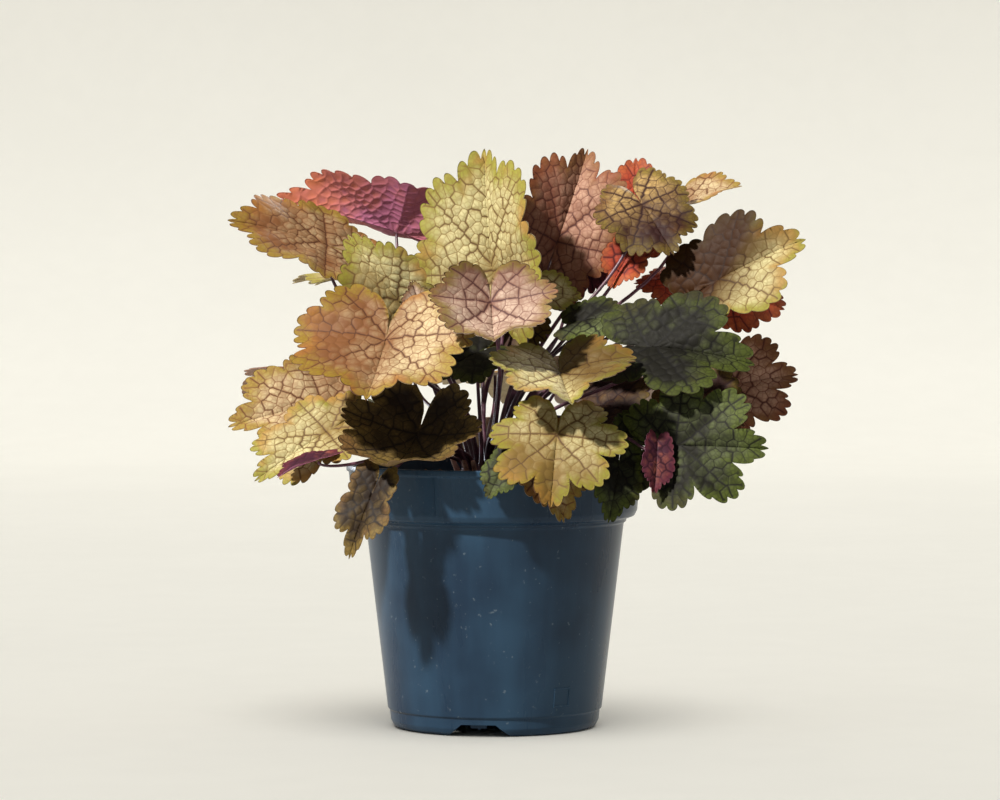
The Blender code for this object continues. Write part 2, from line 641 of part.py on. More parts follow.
def clashes(route, blade, blades):
    """How many points along a stalk come too near a blade."""
    hits = 0
    for start, end in zip(route, route[1:]):
        for step in range(STALK_PROBES):
            point = start.lerp(end, step / STALK_PROBES)
            over_rim = abs(math.hypot(point.x, point.y) - RIM_RADIUS + WALL / 2) < RIM_BERTH
            hits += over_rim and point.z < POT_HEIGHT + STALK_CLEARANCE
            for other in blades:
                own = other is blade and (point - blade.hub).length < OWN_BLADE_BERTH
                if not own and other.reaches(point) and other.sheet.find_nearest(point, STALK_CLEARANCE)[0]:
                    hits += 1
    return hits


def clear_route(blade, index, blades):
    """The first stalk route of a fan that clears every blade, or the one that comes nearest to it."""
    best = None
    for arch, swing, lean in itertools.product(STALK_ARCHES, STALK_SWINGS, STALK_LEANS):
        route = stalk_route(blade, index, len(blades), arch, lean, swing)
        hits = clashes(route, blade, blades)
        if best is None or hits < best[0]:
            best = (hits, route)
        if not hits:
            break
    return best[1]


def make_stalk(name, route, collection):
    """One stalk as a tube that tapers from its root to its blade."""
    curve = bpy.data.curves.new(name, "CURVE")
    curve.dimensions = "3D"
    curve.bevel_depth = STALK_ROOT_RADIUS * MM
    curve.bevel_resolution = 1
    curve.use_fill_caps = True
    spline = curve.splines.new("POLY")
    spline.points.add(len(route) - 1)
    for step, (point, place) in enumerate(zip(spline.points, route)):
        point.co = (*(place * MM), 1.0)
        taper = step / (len(route) - 1)
        point.radius = 1.0 + (STALK_TIP_RADIUS / STALK_ROOT_RADIUS - 1.0) * taper
    holder = bpy.data.objects.new(name, curve)
    collection.objects.link(holder)
    graph = bpy.context.evaluated_depsgraph_get()
    mesh = bpy.data.meshes.new_from_object(holder.evaluated_get(graph))
    bpy.data.objects.remove(holder)
    shape = bmesh.new()
    shape.from_mesh(mesh)
    bmesh.ops.remove_doubles(shape, verts=shape.verts, dist=MERGE_DISTANCE)
    shape.to_mesh(mesh)
    shape.free()
    return add_object(name, mesh, collection)


def keep_main_body(item):
    """Drops the slivers that a union of many tubes leaves beside its main body or sealed inside it."""
    shape = bmesh.new()
    shape.from_mesh(item.data)
    unseen = set(shape.verts)
    bodies = []
    while unseen:
        body = set()
        front = [unseen.pop()]
        while front:
            vertex = front.pop()
            body.add(vertex)
            for edge in vertex.link_edges:
                other = edge.other_vert(vertex)
                if other in unseen:
                    unseen.discard(other)
                    front.append(other)
        bodies.append(body)
    bodies.sort(key=len)
    for body in bodies[:-1]:
        bmesh.ops.delete(shape, geom=list(body), context="VERTS")
    shape.to_mesh(item.data)
    shape.free()


def make_crown(collection, stalks, blades):
    """The crown, plain where it stands in the soil and domed above it, with every stalk sunk into its head."""
    foot = SOIL_TOP_Z - CROWN_DEPTH + CROWN_FLOOR_GAP
    foot_share, foot_height = CROWN_FOOT_BEVEL
    profile = [(CROWN_RADIUS * share, CROWN_HEAD_Z + rise) for share, rise in CROWN_DOME] + [
        (CROWN_RADIUS, SOIL_TOP_Z + CROWN_COLLAR),
        (CROWN_RADIUS, foot + foot_height),
        (CROWN_RADIUS * foot_share, foot),
        (0.0, foot),
    ]
    bark = material("crown_and_stalks", (0.10, 0.03, 0.045), 0.5)
    crown = turned("crown_and_stalks", profile, CROWN_SEGMENTS, collection, bark)
    apply_modifiers(crown)
    for vertex in crown.data.vertices:
        vertex.co.x += CROWN_CENTRE[0] * MM
        vertex.co.y += CROWN_CENTRE[1] * MM
    for index, blade in enumerate(blades):
        make_stalk(f"stalk_{blade.leaf.name}", clear_route(blade, index, blades), stalks)
    boolean(crown, "UNION", stalks)
    apply_modifiers(crown)
    keep_main_body(crown)
    for item in list(stalks.objects):
        bpy.data.objects.remove(item)
    return crown


def main():
    clear_scene()
    parts = new_collection("heuchera_in_pot")
    pot_ribs = new_collection("pot_ribs")
    pot_cutters = new_collection("pot_cutters")
    soil_cutters = new_collection("soil_cutters")
    stalks = new_collection("stalks")
    make_pot(parts, pot_cutters, pot_ribs)
    make_soil(parts, soil_cutters)
    for collection in (pot_ribs, pot_cutters, soil_cutters):
        as_cutters(collection)
    blades = [Blade(leaf, index) for index, leaf in enumerate(LEAVES)]
    settle(blades)
    finishes = {name: material(f"blade_{name}", colour, 0.45) for name, colour in BLADE_COLOURS.items()}
    for blade in blades:
        make_blade(blade, parts, finishes[blade.leaf.colour])
    make_crown(parts, stalks, blades)


main()
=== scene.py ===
"""Looks for a potted heuchera: fine net-veined blades, round stalks, soil and a moulded nursery pot.

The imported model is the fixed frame. Every blade here repeats the form of its solid, with a toothed margin,
a raised net of veins and puffed cells between them. Lengths are millimetres until MM turns them into metres.
"""

import logging
import math
import random
from dataclasses import dataclass, field
from enum import Enum

import bmesh
import bpy
import numpy as np
from mathutils import Matrix, Vector, noise
from mathutils.geometry import delaunay_2d_cdt


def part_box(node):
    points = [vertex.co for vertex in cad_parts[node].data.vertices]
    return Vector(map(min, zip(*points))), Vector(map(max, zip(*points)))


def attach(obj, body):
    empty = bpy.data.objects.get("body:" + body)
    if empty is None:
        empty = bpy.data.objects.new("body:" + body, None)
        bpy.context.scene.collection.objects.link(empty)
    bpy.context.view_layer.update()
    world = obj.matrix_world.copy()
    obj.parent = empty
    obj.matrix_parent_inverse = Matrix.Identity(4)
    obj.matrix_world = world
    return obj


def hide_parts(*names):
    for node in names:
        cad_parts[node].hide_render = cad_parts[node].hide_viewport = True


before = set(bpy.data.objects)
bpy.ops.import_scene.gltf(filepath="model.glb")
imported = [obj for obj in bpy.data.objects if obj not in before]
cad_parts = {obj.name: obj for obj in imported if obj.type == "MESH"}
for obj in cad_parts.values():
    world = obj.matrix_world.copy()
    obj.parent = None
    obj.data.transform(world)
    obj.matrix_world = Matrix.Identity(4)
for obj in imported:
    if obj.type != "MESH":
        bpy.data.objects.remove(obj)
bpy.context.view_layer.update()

LOG = logging.getLogger("heuchera")
MM = 0.001
TINY = 1e-6
FLAT_AREA = 1e-9
BODY = "root"

Triple = tuple[float, float, float]
Flat = tuple[float, float]
Pair = tuple[int, int]
Socket = bpy.types.NodeSocket
Inputs = dict[str | int, object]
Shape = bmesh.types.BMesh

# Form of the blades, as in the solids
LOBE_ANGLES = {7: (0.0, 43.0, 87.0, 133.0), 5: (0.0, 55.0, 118.0)}
LOBE_REACH = {7: (1.0, 0.97, 0.88, 0.76), 5: (1.0, 0.93, 0.76)}
SINUS = (170.0, 0.30)
SINUS_APEX = 0.06
MIDRIB_ROUNDING = 0.06
PHASE_STEP = 2.4
RIPPLES = ((3, 1.0, 1.0), (5, 0.6, 2.3))
SMALLEST_BEND = 0.1
SOLID_SINUS = (169.0, 0.34)
SOLID_TEETH = ((0.24, 0.94), (0.52, 0.965))
SOLID_VALLEY = 0.82

# Margin
TEETH_PER_HALF_LOBE = 2.5
TOOTH_DEPTH = 0.072
TOOTH_VARIETY = (0.75, 1.3)
TOOTH_STEPS = 9
TOOTH_ROUNDNESS = 2.4
LOBE_VARIETY = (0.95, 1.04)
LOBE_ROUNDNESS = 2.6
VALLEY_SHARE = 0.87
DEEP_VALLEYS = {
    "front": 0.74,
    "right_green": 0.74,
    "low_right_green": 0.73,
    "far_right": 0.78,
    "hang_left": 0.74,
    "right_brown": 0.77,
    "top_right": 0.82,
    "centre_cup": 0.80,
    "low_left_green": 0.78,
    "low_left_amber": 0.82,
    "front_left_cup": 0.80,
}

# Cells of the net: rings of them between the main veins
CELL_LENGTH = 6.8
CELL_WIDTH = 3.9
CELL_JITTER = 0.26
REACH_JITTER = 0.13
RING_REACHES = (0.13, 1.1)
RING_GROWTH = (0.75, 0.3)
SEED_LIMITS = (0.06, 0.94)
GHOST_REACH = 1.14
FEWEST_GHOSTS = 24
CELL_RING_SHARE = 0.52
CELL_RING_REACH = 3.0
SHORTEST_REACH = 0.1

# Veins: slant, strength and how far out each part of the net runs
VEIN_SLANT = 1.05
VEIN_STEP = 2.2
VEIN_WANDER = 0.16
VEIN_FLANK = 0.72
VEIN_THINNING = 0.35
VEIN_VARIETY = (0.8, 1.2)
SIDE_VEIN = 0.38
RING_VEINS = (0.48, 0.84)
FLANK_WIDTHS = (0.45, 0.9)
FLANK_STRENGTH = 0.22
FLANK_SHARES = (0.25, 0.75)
VEIN_LIMIT = 0.975
VEIN_END = 0.965
FLANK_LIMIT = 0.97
CELL_LIMIT = 0.96
MARGIN_INSET = 0.022
INSET_LENGTH = 40.0
POINT_BERTH = 0.42

# Relief of a blade
BLADE_THICKNESS = 0.5
EDGE_THICKNESS = 0.28
PUFF = 0.42
PUFF_BY_TONE = (0.75, 0.5)
PUFF_FADE = 0.55
UNDER_PUFF = 0.8
RIB = 0.30
PLEAT = 0.055
FULL_RELIEF_LENGTH = 45.0
FIRST_SEED = 100

CROWN = (-6.0, -4.0)
PIGMENT = 0.60


def srgb(*parts: int) -> Triple:
    """Linear values of a colour given as red, green and blue from 0 to 255."""
    shares = [part / 255.0 for part in parts]
    return tuple(part / 12.92 if part <= 0.04045 else ((part + 0.055) / 1.055) ** 2.4 for part in shares)


# Colour of the painted shade that is multiplied over the shaded part of a blade.
PAINTED_SHADE_COLOUR = srgb(112, 80, 64)


@dataclass(frozen=True)
class BladeFinish:
    """Colours of one kind of blade, each as red, green and blue from 0 to 255."""

    slot: str
    # cell is the colour of the painted lit side and deep that of the painted shaded side; deep is also the
    # leaf's own darker colour round the hub, the veins and the fine net.
    cell: Triple
    deep: Triple
    margin: Triple
    vein: Triple
    under: Triple
    blush: Triple
    roughness: float = 0.62


class Hue(Enum):
    """The kinds of blade, by the colour that each shows from a step away."""

    AMBER = BladeFinish(
        "blade_amber",
        (222, 200, 158), (140, 92, 56), (162, 136, 44), (88, 52, 36), (150, 84, 100), (178, 112, 56),
    )
    LIME = BladeFinish(
        "blade_lime",
        (224, 214, 162), (146, 118, 62), (154, 150, 44), (102, 74, 48), (160, 110, 104), (192, 134, 68),
    )
    CREAM = BladeFinish(
        "blade_cream",
        (224, 198, 178), (136, 92, 78), (138, 118, 46), (80, 46, 48), (160, 100, 110), (146, 92, 60),
    )
    COPPER = BladeFinish(
        "blade_copper",
        (210, 166, 142), (128, 72, 54), (146, 98, 52), (80, 40, 38), (128, 56, 72), (154, 78, 50),
    )
    BRONZE = BladeFinish(
        "blade_bronze",
        (196, 162, 104), (70, 40, 38), (136, 116, 46), (48, 24, 26), (108, 50, 66), (116, 66, 44),
    )
    # Coral blades: a real coral colour, with the cell and underside colours raised as a painted glow of light
    # shining through the thin blade.
    CORAL = BladeFinish(
        "blade_coral",
        (200, 84, 58), (112, 44, 42), (178, 94, 54), (76, 26, 30), (184, 84, 76), (212, 114, 66),
    )
    # Plum blades: the bright coral cell colour is a painted glow where light shines through the lit tip, and
    # the pale underside colour is partly painted glow as well.
    PLUM = BladeFinish(
        "blade_plum",
        (255, 150, 112), (72, 31, 50), (104, 46, 62), (50, 17, 32), (198, 120, 156), (120, 50, 60),
    )
    OLIVE = BladeFinish(
        "blade_olive",
        (146, 122, 66), (47, 34, 24), (142, 118, 60), (28, 18, 16), (226, 180, 152), (122, 84, 52),
    )
    DARK = BladeFinish(
        "blade_dark",
        (122, 134, 84), (28, 27, 19), (88, 100, 36), (13, 11, 11), (84, 44, 58), (70, 62, 34), 0.66,
    )


@dataclass(frozen=True)
class LitSide:
    """Painted light and shade of a blade: the angle of its lit side from the tip, its lit share at the hub,
    softness, and how strongly painted shade darkens the rest.
    """

    angle: float = 0.0
    share: float = 0.55
    softness: float = 1.2
    dusk: float = 0.0


# Painted lit and shaded sides of each blade, where light and the shadows of other blades fall; a share below
# 0 paints most of a blade in shade.
LIT_SIDES = {
    "upper_left": LitSide(180.0, 0.45, 2.0, 0.25),
    "top_left_under": LitSide(0.0, -0.25, 0.7),
    "behind_left": LitSide(75.0, 0.55, 0.7, 0.25),
    "big_left": LitSide(-90.0, 0.45, 0.9, 0.15),
    "top_centre": LitSide(0.0, 0.7, 2.0),
    "top_right": LitSide(40.0, 0.4, 1.2, 0.25),
    "right_crest": LitSide(180.0, 0.65, 0.8, 0.45),
    "far_right": LitSide(50.0, 0.0, 0.5, 1.0),
    "centre": LitSide(0.0, 0.6, 1.6),
    "centre_brown": LitSide(60.0, 0.1, 0.7, 0.3),
    "centre_cup": LitSide(60.0, 0.40, 0.5, 0.55),
    "front": LitSide(-150.0, 0.55, 1.2, 0.2),
    "front_left_cup": LitSide(0.0, 0.25, 1.5, 0.3),
    "hang_left": LitSide(0.0, -0.1, 1.5, 0.2),
    "left_dark": LitSide(0.0, -0.3, 2.0),
    "low_left_plum": LitSide(0.0, -1.2, 3.0),
    "rim_right": LitSide(0.0, -0.1, 1.5),
    "rim_small": LitSide(0.0, 0.1, 1.5),
    "right_green": LitSide(10.0, -0.40, 0.9, 0.35),
    "right_brown": LitSide(0.0, 0.60, 1.2),
    "low_right_green": LitSide(-50.0, 0.1, 1.6),
    "low_right_brown": LitSide(0.0, -0.1, 2.0, 0.4),
    "low_right_plum": LitSide(0.0, -1.2, 3.0),
    "low_right_small": LitSide(0.0, -0.2, 2.0),
    "right_inner_dark": LitSide(0.0, -0.3, 3.0, 0.5),
    "right_inner_plum": LitSide(0.0, -1.2, 3.0),
    "inner_dark_left": LitSide(0.0, -0.5, 3.0, 0.4),
    "inner_dark_centre": LitSide(0.0, -0.5, 3.0, 0.4),
}


@dataclass(frozen=True)
class Leaf:
    """One blade. Places are millimetres and angles are degrees, as in the part's source."""

    name: str
    hub: Triple
    tip: Triple
    face: Triple
    hue: Hue
    width: float
    lobes: int
    fold: float
    droop: float
    curl: float
    wave: float

    @property
    def length(self) -> float:
        """Distance from the hub to the tip of the middle lobe."""
        return (Vector(self.tip) - Vector(self.hub)).length


LEAVES = (
    Leaf("upper_left", (-96, -12, 275), (-151, -26, 289), (0, -3, 4), Hue.AMBER, 0.74, 7, 6, 15, 8, 2.5),
    Leaf("top_left_under", (-56, 30, 284), (-128, 22, 303), (0, 1, 2), Hue.PLUM, 0.62, 7, 25, 10, 10, 2.5),
    Leaf("behind_left", (-53, -36, 242), (-83, -38, 281), (-1, -3, 1), Hue.LIME, 0.66, 5, 15, 20, 15, 2.0),
    Leaf("big_left", (-60, -75, 223), (-70, -115, 190), (-1, -6, 5), Hue.AMBER, 1.2, 7, 14, -15, 10, 3.0),
    Leaf("top_centre", (-1, -8, 260), (-6, 2, 330), (-3, -5, 0), Hue.LIME, 0.8, 7, 28, 15, 15, 3.0),
    Leaf("top_right", (36, 15, 277), (54, 28, 331), (1, -5, 1), Hue.COPPER, 0.78, 7, 26, 15, 15, 3.0),
    Leaf("right_crest", (84, -8, 298), (101, -34, 269), (0, -2, 1), Hue.BRONZE, 0.85, 7, 10, 20, 20, 2.5),
    Leaf("crest_side", (109, 18, 299), (142, 8, 309), (0, -1, 2), Hue.AMBER, 0.7, 5, 15, 15, 15, 2.0),
    Leaf("crest_behind", (81, 55, 290), (83, 66, 327), (0, -3, 1), Hue.CORAL, 0.9, 5, 10, 15, 20, 2.0),
    Leaf("far_right", (126, -30, 255), (175, -36, 278), (0, -3, 2), Hue.LIME, 0.86, 5, 16, 20, 20, 3.5),
    Leaf("far_right_under", (133, 22, 256), (168, 26, 238), (0, -2, -1), Hue.CORAL, 0.8, 5, 10, 20, 15, 2.5),
    Leaf("right_folded", (113, 12, 257), (80, 18, 253), (0, -3, 2), Hue.CORAL, 0.75, 5, -30, 10, 10, 1.0),
    Leaf("right_inner_orange", (78, 2, 272), (66, -2, 250), (0, -2, 1), Hue.CORAL, 0.72, 5, 10, 20, 15, 2.0),
    Leaf("right_inner_plum", (62, 30, 281), (34, 34, 252), (0, -2, 1), Hue.PLUM, 0.92, 7, 15, 20, 20, 2.5),
    Leaf("centre", (-2, -82, 243), (0, -114, 222), (0, -6, 5), Hue.CREAM, 1.15, 7, 24, -55, 5, 2.0),
    Leaf("centre_lime", (25, -8, 248), (50, -4, 245), (0, -2, 2), Hue.LIME, 0.8, 5, 10, 15, 15, 1.5),
    Leaf("centre_brown", (50, -30, 232), (77, -41, 235), (0, -2, 2), Hue.DARK, 0.8, 5, 10, 20, 20, 2.0),
    Leaf("centre_cup", (36, -84, 204), (42, -124, 188), (0, -3, 4), Hue.LIME, 1.18, 7, 22, -15, 15, 2.5),
    Leaf("front", (34, -98, 170), (30, -116, 131), (0, -3, 2), Hue.LIME, 1.08, 7, 6, 15, 20, 2.5),
    Leaf("front_orange", (26, -84, 158), (38, -96, 122), (1, -3, 1), Hue.AMBER, 0.75, 5, 28, 15, 15, 2.0),
    Leaf("rim_right", (68, -86, 153), (62, -98, 122), (1, -3, 1), Hue.DARK, 0.62, 5, 10, 15, 20, 1.5),
    Leaf("rim_small", (6, -92, 154), (-4, -98, 135), (-1, -3, 1), Hue.DARK, 0.7, 5, 10, 15, 20, 1.0),
    Leaf(
        "front_left_cup", (-43, -62, 164), (-62, -108, 150), (0, -1, 3), Hue.OLIVE, 0.98, 7, 10, -60, -25, 2.0
    ),
    Leaf("low_left_amber", (-98, -6, 184), (-151, -20, 172), (-1, -3, 2), Hue.AMBER, 0.8, 7, 14, 15, 15, 3.0),
    Leaf(
        "low_left_green", (-94, -48, 170), (-134, -60, 143), (-1, -3, 2), Hue.LIME, 0.68, 7, 12, 15, 15, 2.0
    ),
    Leaf("low_left_plum", (-98, -73, 156), (-120, -80, 146), (1, 0, 3), Hue.PLUM, 0.6, 5, 15, 15, 15, 1.0),
    Leaf("left_dark", (-52, -24, 168), (-82, -30, 176), (0, -2, 3), Hue.DARK, 0.85, 7, 10, 15, 15, 2.0),
    Leaf("hang_left", (-68, -90, 142), (-80, -98, 108), (-1, -3, 1), Hue.OLIVE, 0.64, 5, 15, 15, 15, 1.5),
    Leaf("right_green", (87, -62, 218), (144, -72, 208), (0, -3, 2), Hue.DARK, 0.8, 5, 16, 20, 20, 3.0),
    Leaf("right_brown", (131, -5, 194), (174, 0, 201), (0, -3, 1), Hue.COPPER, 0.9, 7, 12, 20, 20, 2.5),
    Leaf("low_right_green", (100, -84, 164), (150, -98, 163), (0, -4, 1), Hue.DARK, 0.92, 7, 10, 20, 15, 3.0),
    Leaf(
        "low_right_brown", (113, -6, 190), (142, -16, 172), (0, -3, 1), Hue.BRONZE, 0.85, 5, 10, 20, 20, 2.0
    ),
    Leaf("low_right_plum", (89, -92, 160), (87, -99, 138), (1, -3, 0), Hue.PLUM, 0.6, 5, 20, 15, 15, 1.0),
    Leaf("low_right_small", (82, -66, 172), (62, -72, 168), (0, -3, 2), Hue.DARK, 0.8, 5, 15, 15, 15, 1.0),
    # right_inner_dark and the two inner_dark blades fill the inside of the plant, which lies in shade; they
    # are painted almost wholly in their shaded colour, with painted shade over it.
    Leaf("right_inner_dark", (60, -16, 184), (90, -32, 176), (0, -3, 2), Hue.BRONZE, 0.9, 5, 10, 15, 15, 2.0),
    Leaf("inner_dark_left", (-10, -34, 214), (-36, -44, 199), (-1, -3, 2), Hue.DARK, 0.9, 5, 10, 15, 15, 1.5),
    Leaf("inner_dark_centre", (8, 8, 236), (4, -12, 206), (0, -3, 1), Hue.BRONZE, 0.9, 5, 10, 15, 15, 1.5),
    Leaf("young_left", (-42, -54, 239), (-46, -56, 255), (0, -3, 1), Hue.CREAM, 0.8, 5, 20, 10, 15, 0.8),
    Leaf("back_centre", (-6, 62, 284), (-12, 108, 298), (0, 1, 3), Hue.AMBER, 0.95, 7, 10, 30, 25, 3.0),
    Leaf("back_right", (42, 84, 254), (68, 132, 254), (0, 1, 2), Hue.BRONZE, 0.92, 7, 12, 30, 25, 3.0),
    Leaf("back_left", (-70, 62, 255), (-108, 106, 252), (-1, 1, 2), Hue.LIME, 0.95, 7, 12, 30, 25, 3.0),
    Leaf("back_low_left", (-98, 35, 200), (-146, 58, 186), (-2, 1, 2), Hue.COPPER, 0.95, 5, 12, 30, 25, 3.0),
    Leaf("back_low_right", (98, 50, 205), (146, 76, 196), (2, 1, 2), Hue.DARK, 0.95, 7, 12, 30, 25, 3.0),
    Leaf("back_low", (0, 88, 200), (5, 142, 180), (0, 2, 2), Hue.AMBER, 1.0, 7, 12, 30, 25, 3.0),
    Leaf("back_middle_left", (-50, 92, 205), (-78, 136, 182), (-1, 2, 2), Hue.LIME, 0.95, 7, 12, 30, 25, 3.0),
    Leaf("back_middle_right", (60, 98, 192), (84, 136, 164), (1, 2, 2), Hue.CREAM, 0.9, 5, 12, 30, 25, 3.0),
    Leaf("back_hanging", (-20, 85, 160), (-30, 108, 124), (0, 3, 1), Hue.OLIVE, 0.8, 5, 12, 25, 20, 2.0),
)


def between(start: Flat, end: Flat, share: float) -> Flat:
    """The flat place that lies a share of the way from one place to another."""
    return start[0] + (end[0] - start[0]) * share, start[1] + (end[1] - start[1]) * share


def coarse_outline(lobes: int) -> list[Flat]:
    """The margin of the solid's flat blade, used to find how far the solid was nudged.

    Args:
        lobes: Number of lobes.

    Returns:
        Angle from the tip in degrees and reach, all the way round.
    """
    angles, reaches = LOBE_ANGLES[lobes], LOBE_REACH[lobes]
    side = []
    for index, (angle, reach) in enumerate(zip(angles, reaches)):
        last = index == len(angles) - 1
        ahead = SOLID_SINUS[0] if last else (angle + angles[index + 1]) / 2
        if index:
            behind = (angle - angles[index - 1]) / 2
            side += [(angle - step * behind, reach * share) for step, share in reversed(SOLID_TEETH)]
        side.append((angle, reach))
        side += [(angle + step * (ahead - angle), reach * share) for step, share in SOLID_TEETH]
        side.append(SOLID_SINUS if last else (ahead, SOLID_VALLEY * (reach + reaches[index + 1]) / 2))
    return side + [(-angle, reach) for angle, reach in reversed(side[1:])] + [(180.0, SINUS_APEX)]


@dataclass
class BladeSurface:
    """Takes points of the flat unit blade, across and along it, to their places on the bent blade."""

    form: Leaf
    phase: float
    shift: np.ndarray = field(default_factory=lambda: np.zeros(3))
    pleat: float = 0.0

    def bend(self, across: np.ndarray, along: np.ndarray) -> np.ndarray:
        """Folds, curls, droops and ripples the flat unit blade.

        Args:
            across: Sideways places on the flat blade.
            along: Places from the hub towards the tip.

        Returns:
            One row of three numbers for each point.
        """
        form = self.form
        reach = np.hypot(across, along)
        angle = np.arctan2(across, along)
        fold = math.radians(form.fold)
        curl, droop = math.radians(form.curl or SMALLEST_BEND), math.radians(form.droop or SMALLEST_BEND)
        out = np.sqrt(across**2 + MIDRIB_ROUNDING**2) - MIDRIB_ROUNDING
        side = (math.sin(fold) - np.sin(fold - curl * out)) / curl
        lift = (np.cos(fold - curl * out) - math.cos(fold)) / curl
        ripple = sum(size * np.sin(count * angle + share * self.phase) for count, size, share in RIPPLES)
        lift = lift + form.wave / form.length * reach**2 * ripple + self.pleats(angle, reach)
        turn = droop * along
        forward = np.sin(turn) / droop + lift * np.sin(turn)
        height = lift * np.cos(turn) - (1 - np.cos(turn)) / droop
        return np.stack([np.copysign(side, across), forward, height], axis=-1)

    def pleats(self, angle: np.ndarray, reach: np.ndarray) -> np.ndarray:
        """Lift between the main veins, which run in shallow channels.

        Args:
            angle: Angle from the tip, in radians.
            reach: Distance from the hub on the flat unit blade.

        Returns:
            The lift at each point.
        """
        stops = [*LOBE_ANGLES[self.form.lobes], 180.0]
        bent = np.interp(np.abs(np.degrees(angle)), stops, np.arange(len(stops)))
        return self.pleat * reach * np.sin(math.pi * bent) ** 2

    def axes(self) -> np.ndarray:
        """The matrix that scales and turns the bent unit blade so that its hub and tip meet theirs.

        Returns:
            A 3 by 3 matrix.
        """
        form = self.form
        forward = (Vector(form.tip) - Vector(form.hub)).normalized()
        normal = Vector(form.face)
        normal = (normal - forward * normal.dot(forward)).normalized()
        tip = self.bend(np.array([0.0]), np.array([1.0]))[0]
        tilt = Matrix.Rotation(-math.atan2(tip[2], tip[1]), 3, "X")
        scale = form.length / math.hypot(tip[1], tip[2])
        return np.array(Matrix((forward.cross(normal), forward, normal)).transposed() @ tilt * scale)

    def place(self, across: np.ndarray, along: np.ndarray) -> np.ndarray:
        """Places of flat points in millimetres, one row of three numbers for each point."""
        return np.array(self.form.hub) + self.shift + self.bend(across, along) @ self.axes().T

    def normals(self, across: np.ndarray, along: np.ndarray, step: float = 0.004) -> np.ndarray:
        """Unit normals of the blade's upper side.

        Args:
            across: Sideways places on the flat blade.
            along: Places from the hub towards the tip.
            step: How far apart the compared places lie.

        Returns:
            One row of three numbers for each point.
        """
        over = self.place(across + step, along) - self.place(across - step, along)
        ahead = self.place(across, along + step) - self.place(across, along - step)
        normal = np.cross(over, ahead)
        return normal / np.linalg.norm(normal, axis=1, keepdims=True)

    def follow_solid(self) -> None:
        """Moves the surface to where its solid stands, as the solids were nudged apart, and pleats it."""
        degrees, reach = np.array(coarse_outline(self.form.lobes)).T
        angle = np.radians(degrees)
        spots = self.place(reach * np.sin(angle) * self.form.width, reach * np.cos(angle))
        low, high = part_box(f"leaf_{self.form.name}")
        middle = (np.array(low) + np.array(high)) / 2 / MM
        self.shift = self.shift + middle - (spots.min(axis=0) + spots.max(axis=0)) / 2
        self.pleat = PLEAT


@dataclass
class Margin:
    """The toothed outline of one flat unit blade."""

    form: Leaf
    draws: random.Random
    angles: tuple[float, ...] = ()
    reaches: tuple[float, ...] = ()

    def __post_init__(self) -> None:
        """Draws both sides of the outline and joins them at the sinus."""
        right = self.side()
        left = [(-angle, reach) for angle, reach in reversed(self.side()[1:])]
        self.angles, self.reaches = zip(*left, *right, (180.0, SINUS_APEX))

    def side(self) -> list[Flat]:
        """One side of the outline.

        Returns:
            Angle from the tip in degrees and reach, from the tip to the sinus.
        """
        angles, reaches = LOBE_ANGLES[self.form.lobes], LOBE_REACH[self.form.lobes]
        reaches = [reaches[0]] + [reach * self.draws.uniform(*LOBE_VARIETY) for reach in reaches[1:]]
        share = DEEP_VALLEYS.get(self.form.name, VALLEY_SHARE)
        found = [(0.0, reaches[0])]
        for start, end in zip(zip(angles, reaches), zip(angles[1:], reaches[1:])):
            valley = ((start[0] + end[0]) / 2, share * (start[1] + end[1]) / 2)
            found += self.half_lobe(start, valley)[1:]
            found += list(reversed(self.half_lobe(end, valley)))[1:]
        return found + self.half_lobe((angles[-1], reaches[-1]), SINUS)[1:]

    def half_lobe(self, apex: Flat, valley: Flat) -> list[Flat]:
        """Half of one lobe with its teeth.

        Args:
            apex: Angle and reach of the lobe's end.
            valley: Angle and reach of the valley beside it.

        Returns:
            Points from the apex to the valley.
        """
        teeth = math.ceil(TEETH_PER_HALF_LOBE)
        bounds = [0.0] + [(tooth + 0.5) / TEETH_PER_HALF_LOBE for tooth in range(teeth)]
        found = []
        for start, end in zip(bounds, bounds[1:]):
            depth = TOOTH_DEPTH * self.draws.uniform(*TOOTH_VARIETY)
            first_step = 0 if start else TOOTH_STEPS // 2
            for step in range(first_step, TOOTH_STEPS + 1 if end >= 1.0 else TOOTH_STEPS):
                across_tooth = 2.0 * step / TOOTH_STEPS - 1.0
                share = start + (end - start) * step / TOOTH_STEPS if start else end * max(across_tooth, 0.0)
                dip = depth * abs(across_tooth) ** TOOTH_ROUNDNESS
                reach = apex[1] + (valley[1] - apex[1]) * share**LOBE_ROUNDNESS
                found.append((apex[0] + (valley[0] - apex[0]) * share, reach * (1.0 - dip)))
        return found

    def reach(self, angle: float) -> float:
        """Reach of the outline at an angle from the tip, in degrees from -180 to 180."""
        return float(np.interp(angle, (-180.0, *self.angles), (SINUS_APEX, *self.reaches)))


@dataclass(frozen=True)
class Seed:
    """Middle of one cell of the net."""

    angle: float
    reach: float
    sector: int
    ring: int


class PointKind(Enum):
    """What a point is, with the share of a cell's puff that it takes. No two shares are the same."""

    MARGIN = 0.0
    INSET = 0.25
    VEIN = 0.0001
    FLANK = 0.34
    RING = 0.85
    MIDDLE = 1.0


